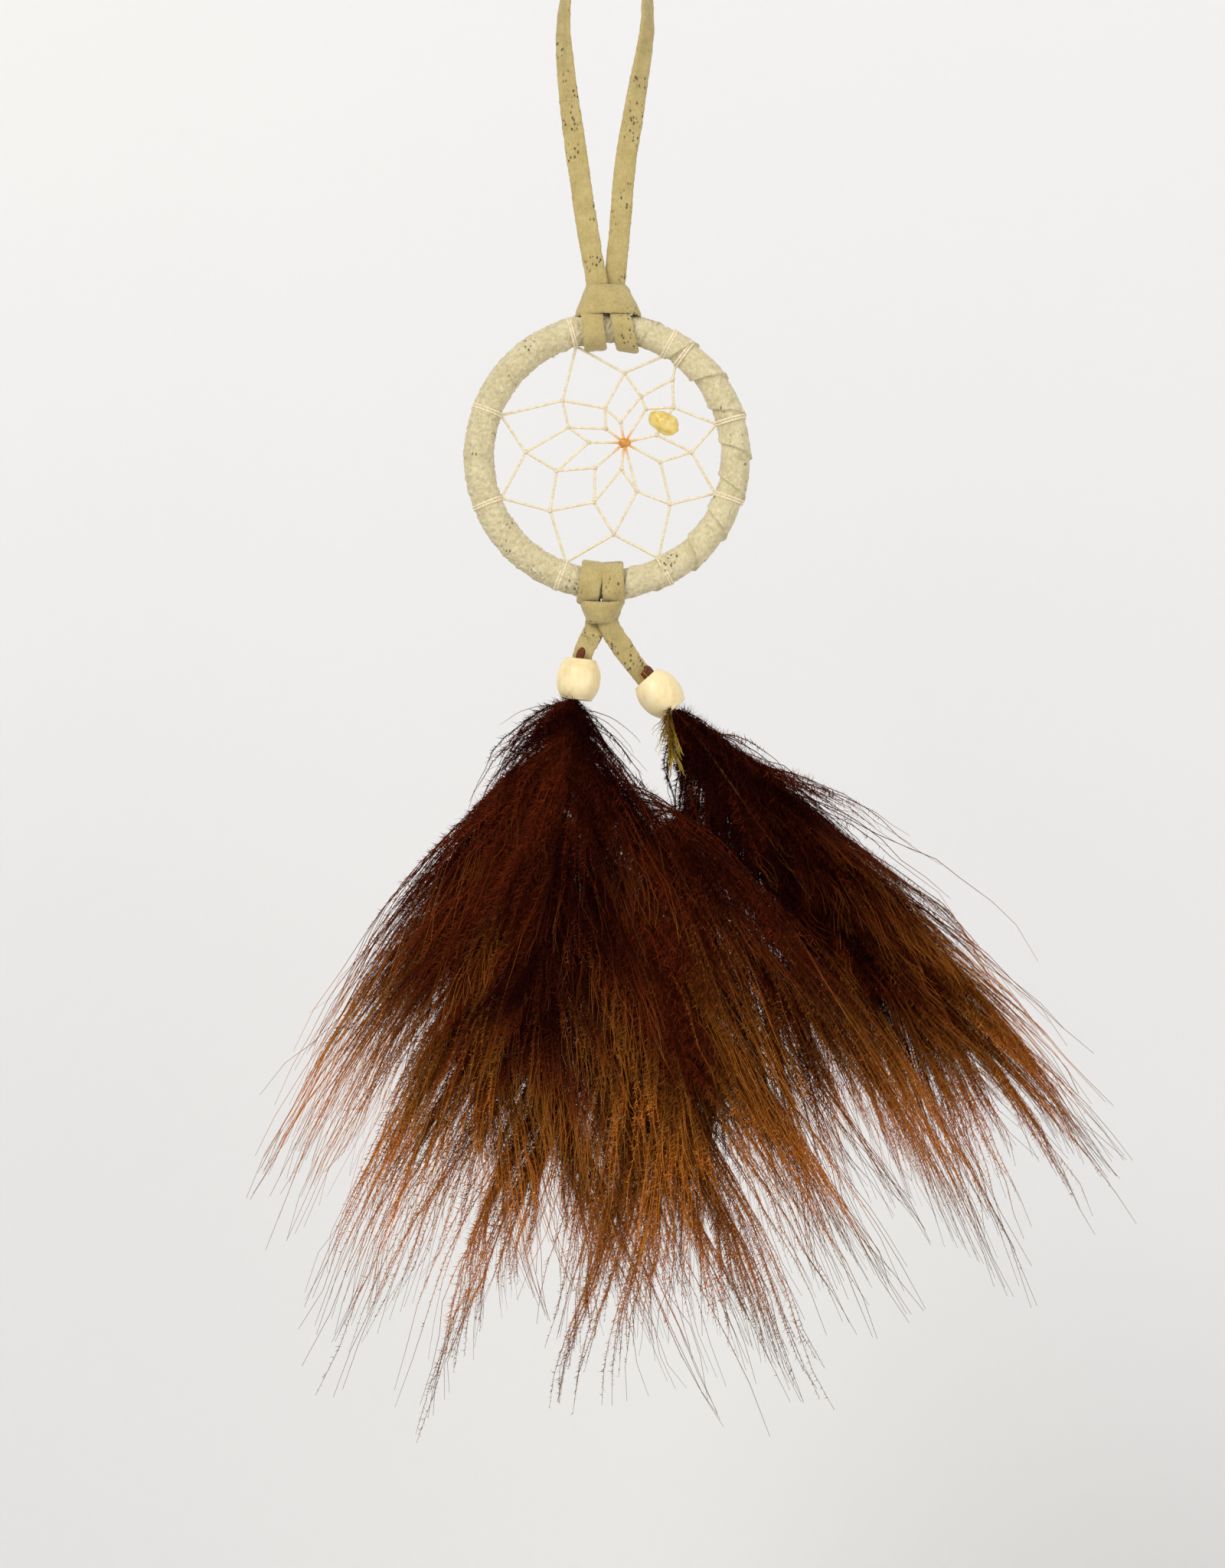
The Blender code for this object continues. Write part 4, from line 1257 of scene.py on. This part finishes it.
    taper = QUILL_RADIUS * (1.12 - share) ** 0.8
    stem = store(tree, quill, "along", share)
    profile = add(tree, "GeometryNodeCurvePrimitiveCircle", {"Resolution": 8, "Radius": 1.0}).outputs[0]
    profile = store(tree, profile, "across", index)
    shaft = add(
        tree,
        "GeometryNodeCurveToMesh",
        {"Curve": stem, "Profile Curve": profile, "Scale": taper, "Fill Caps": True},
    ).outputs[0]
    chart = add(
        tree,
        "ShaderNodeCombineXYZ",
        {0: stored(tree, "along") * 0.98 + 0.01, 1: stored(tree, "across") * 0.004 + 0.965},
    ).outputs[0]
    shaft = store(tree, shaft, "OFBake", chart, "FLOAT2", "CORNER")

    joined = add(tree, "GeometryNodeJoinGeometry")
    for part in (shaft, down, hairs):
        tree.links.new(part, joined.inputs[0])
    finish_tree(tree, joined.outputs[0], given["Finish"])
    return tree, identifiers


PLUME_TREE, PLUME_INPUTS = feather_tree()
brown_plume = feather_material(
    "brown_plume", DOWN_DARK, DOWN_RED, FLUFF_GOLD, (HAIR_BROWN, HAIR_GREY)
)


def quill_line(bead_place, bead_tilt, layer, lean, start, end, length, tip):
    """The quill's route: through the bead, out of its lower end, and along its own bend."""
    along = facing(bead_tilt)
    root = bead_place + DEPTH * layer
    line = [root - along * tip, root, root + along * BEAD_HEIGHT / 2]
    step = length / QUILL_STATIONS
    place = line[-1]
    for i in range(1, int(QUILL_STATIONS * SHAFT_SHARE) + 1):
        share = i / QUILL_STATIONS
        bend = start + (end - start) * share**0.8 + (bead_tilt - start) * max(0, 1 - share * 6)
        place = place + facing(bend) * step + DEPTH * tan(radians(lean)) * step
        line.append(place)
    return line


def plume(name, line, finish, **inputs):
    """One feather on a quill's line, with the names it was grown by taken off again."""
    base = bpy.data.meshes.new(name)
    base.from_pydata([tuple(point) for point in line], [(i, i + 1) for i in range(len(line) - 1)], [])
    piece = grow(name, add_mesh(name, base), PLUME_TREE, PLUME_INPUTS, Finish=finish, **inputs)
    for spare in WORKING_ATTRIBUTES:
        if spare in piece.data.attributes:
            piece.data.attributes.remove(piece.data.attributes[spare])
    return piece


# One row for each feather, front to back: the quill's direction at its start and at its end in
# degrees, the feather's length, the length and spread of its barbs, its tone, golden at 1, and how
# much of a barb is fluffy.
LEFT_FEATHERS = (
    (-12, -3, 0.108, 0.048, 48, 0.34, 0.76),
    (14, 27, 0.134, 0.054, 48, 0.84, 0.76),
    (-34, 2, 0.130, 0.052, 44, 0.68, 0.68),
    (44, 36, 0.136, 0.052, 46, 0.56, 0.76),
    (-50, -4, 0.100, 0.048, 40, 0.60, 0.55),
    (19, 7, 0.160, 0.050, 44, 0.55, 0.88),
    (-8, 5, 0.148, 0.060, 52, 0.70, 0.84),
)
# The front and the back right feather have low tones, dark for painted shadow in the gap between the
# bunches.
RIGHT_FEATHERS = (
    (34, 36, 0.118, 0.045, 44, 0.30, 0.76),
    (44, 38, 0.138, 0.050, 38, 0.60, 0.76),
    (54, 34, 0.126, 0.042, 38, 0.86, 0.76),
    (38, 41, 0.134, 0.050, 42, 0.56, 0.76),
    (-14, 26, 0.132, 0.054, 56, 0.16, 0.76),
)
LEFT_LEANS = (-6.0, -0.6)  # of the front feather and of the back one
RIGHT_LEANS = (0.6, 5.0)


def add_bunch(side, rows, bead_place, bead_tilt, leans, backwards, droop):
    count = len(rows)
    for i, (start, end, length, barb, spread, tone, fluffy) in enumerate(rows):
        layer = (i - (count - 1) / 2) * LAYER_STEP - LAYER_STEP / 6
        lean = leans[0] + (leans[1] - leans[0]) * i / (count - 1)
        seen_tip = BEAD_HEIGHT / 2 + QUILL_TIP * (1 - 0.35 * i)
        tip = seen_tip if i < QUILL_TIPS_SEEN else HIDDEN_TIP
        name = f"{side}_feather_{i + 1}"
        line = quill_line(bead_place, bead_tilt, layer, lean, start, end, length, tip)
        bare = max((BEAD_HEIGHT + QUILL_TIP) / (BEAD_HEIGHT + length * SHAFT_SHARE), 0.075 * i)
        feather = plume(
            f"{side}_plume_{i + 1}", line, brown_plume, Barbs=480, Barbules=260, Barb_Length=barb,
            Spread=radians(spread), Fluff=0.0032, Fluffy_Share=fluffy, Locks=length * 110, Cling=0.45,
            Wander=0.015, Tone=tone, Backwards=backwards, Droop=droop, Parting=0.0055, Reach=0.150,
            Bare_Share=bare, Seed=10 * i + len(side),
        )
        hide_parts(name)
        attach(feather, side + "_tail")


add_bunch("left", LEFT_FEATHERS, LEFT_BEAD, LEFT_TILT, LEFT_LEANS, -0.25, 0.95)
add_bunch("right", RIGHT_FEATHERS, RIGHT_BEAD, RIGHT_TILT, RIGHT_LEANS, 0.25, 0.5)

# Loose bits: an olive tuft under the right bead, grey wisps round the left one, and stray hairs that
# have come out of line. They are feather too, caught in the beads with the others.

olive_plume = feather_material(
    "olive_plume", (0.10, 0.055, 0.008), (0.32, 0.20, 0.025), (0.50, 0.36, 0.06),
    ((0.42, 0.30, 0.06), (0.22, 0.15, 0.04)),
)
grey_plume = feather_material(
    "grey_wisps", (0.14, 0.10, 0.08), (0.30, 0.23, 0.19), (0.40, 0.33, 0.28),
    ((0.36, 0.29, 0.25), (0.42, 0.37, 0.34)),
)


def loose_bit(name, side, route, finish, **inputs):
    line = smooth_route([HOOP_CENTRE + Vector(point) for point in route], 6)
    bit = plume(name, line, finish, Backwards=0.0, Bare_Share=0.02, Parting=0.001, **inputs)
    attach(bit, side + "_tail")


loose_bit(
    "olive_tuft", "right",
    [(0.0142, -0.0010, -0.0560), (0.0136, -0.0042, -0.0600), (0.0146, -0.0064, -0.0668)], olive_plume,
    Barbs=90, Barbules=60, Barb_Length=0.0074, Spread=radians(18), Fluff=0.0011, Fluffy_Share=0.5,
    Locks=6.0, Cling=0.4, Wander=0.003, Tone=0.55, Droop=0.1, Reach=0.020, Seed=71,
)
loose_bit(
    "grey_wisps", "left",
    [(-0.0074, -0.0012, -0.0555), (-0.0078, -0.0016, -0.0575), (-0.0084, -0.0016, -0.0605)], grey_plume,
    Barbs=46, Barbules=26, Barb_Length=0.017, Spread=radians(84), Fluff=0.0011, Fluffy_Share=0.95,
    Locks=9.0, Cling=0.1, Wander=0.007, Tone=0.5, Droop=0.15, Reach=0.018, Seed=72,
)
for side, route, number in (
    ("left", [(-0.010, -0.002, -0.060), (-0.028, -0.006, -0.088), (-0.040, -0.004, -0.115)], 81),
    ("right", [(0.016, 0.002, -0.057), (0.048, 0.004, -0.085), (0.068, 0.005, -0.108)], 82),
):
    loose_bit(
        side + "_strays", side, route, brown_plume, Barbs=16, Barbules=12, Barb_Length=0.062,
        Spread=radians(22), Fluff=0.0008, Fluffy_Share=0.2, Locks=16.0, Cling=0.0, Wander=0.03, Tone=0.3,
        Droop=0.3, Reach=0.14, Seed=number,
    )

# Quill ends: the thick brown ends of two quills, cut off short. They stick up out of the beads' tops,
# in front of the laces.

QUILL_END_RADII = (0.0009, 0.0006, 0.0019)


def quill_end_material():
    made, tree, shader = new_material("quill_end")
    grain = noise_field(tree, object_place(tree, (1, 1, 0.3)), 2200, detail=3)
    colours = colour_ramp(tree, grain, (0.3, (0.05, 0.012, 0.004)), (0.7, (0.20, 0.060, 0.016)))
    connect(tree, shader.inputs["Base Color"], colours)
    connect(tree, shader.inputs["Roughness"], 0.5 + grain * 0.25)
    shader.inputs["Specular IOR Level"].default_value = 0.2
    bump(tree, shader, grain, 0.0001, 0.3)
    return made


quill_end = quill_end_material()
for side, bead_place, past, lean in (
    ("left", LEFT_BEAD, (0.0004, -0.0016, 0.0055), 24),
    ("right", RIGHT_BEAD, (-0.0024, -0.0016, 0.0049), -34),
):
    leaning = Matrix.Rotation(radians(lean), 3, "Y")
    spot = bead_place + Vector(past)
    nib = lump(side + "_quill_end", QUILL_END_RADII, 0.15, 1.4, leaning, spot, quill_end, 3)
    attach(nib, side + "_tail")
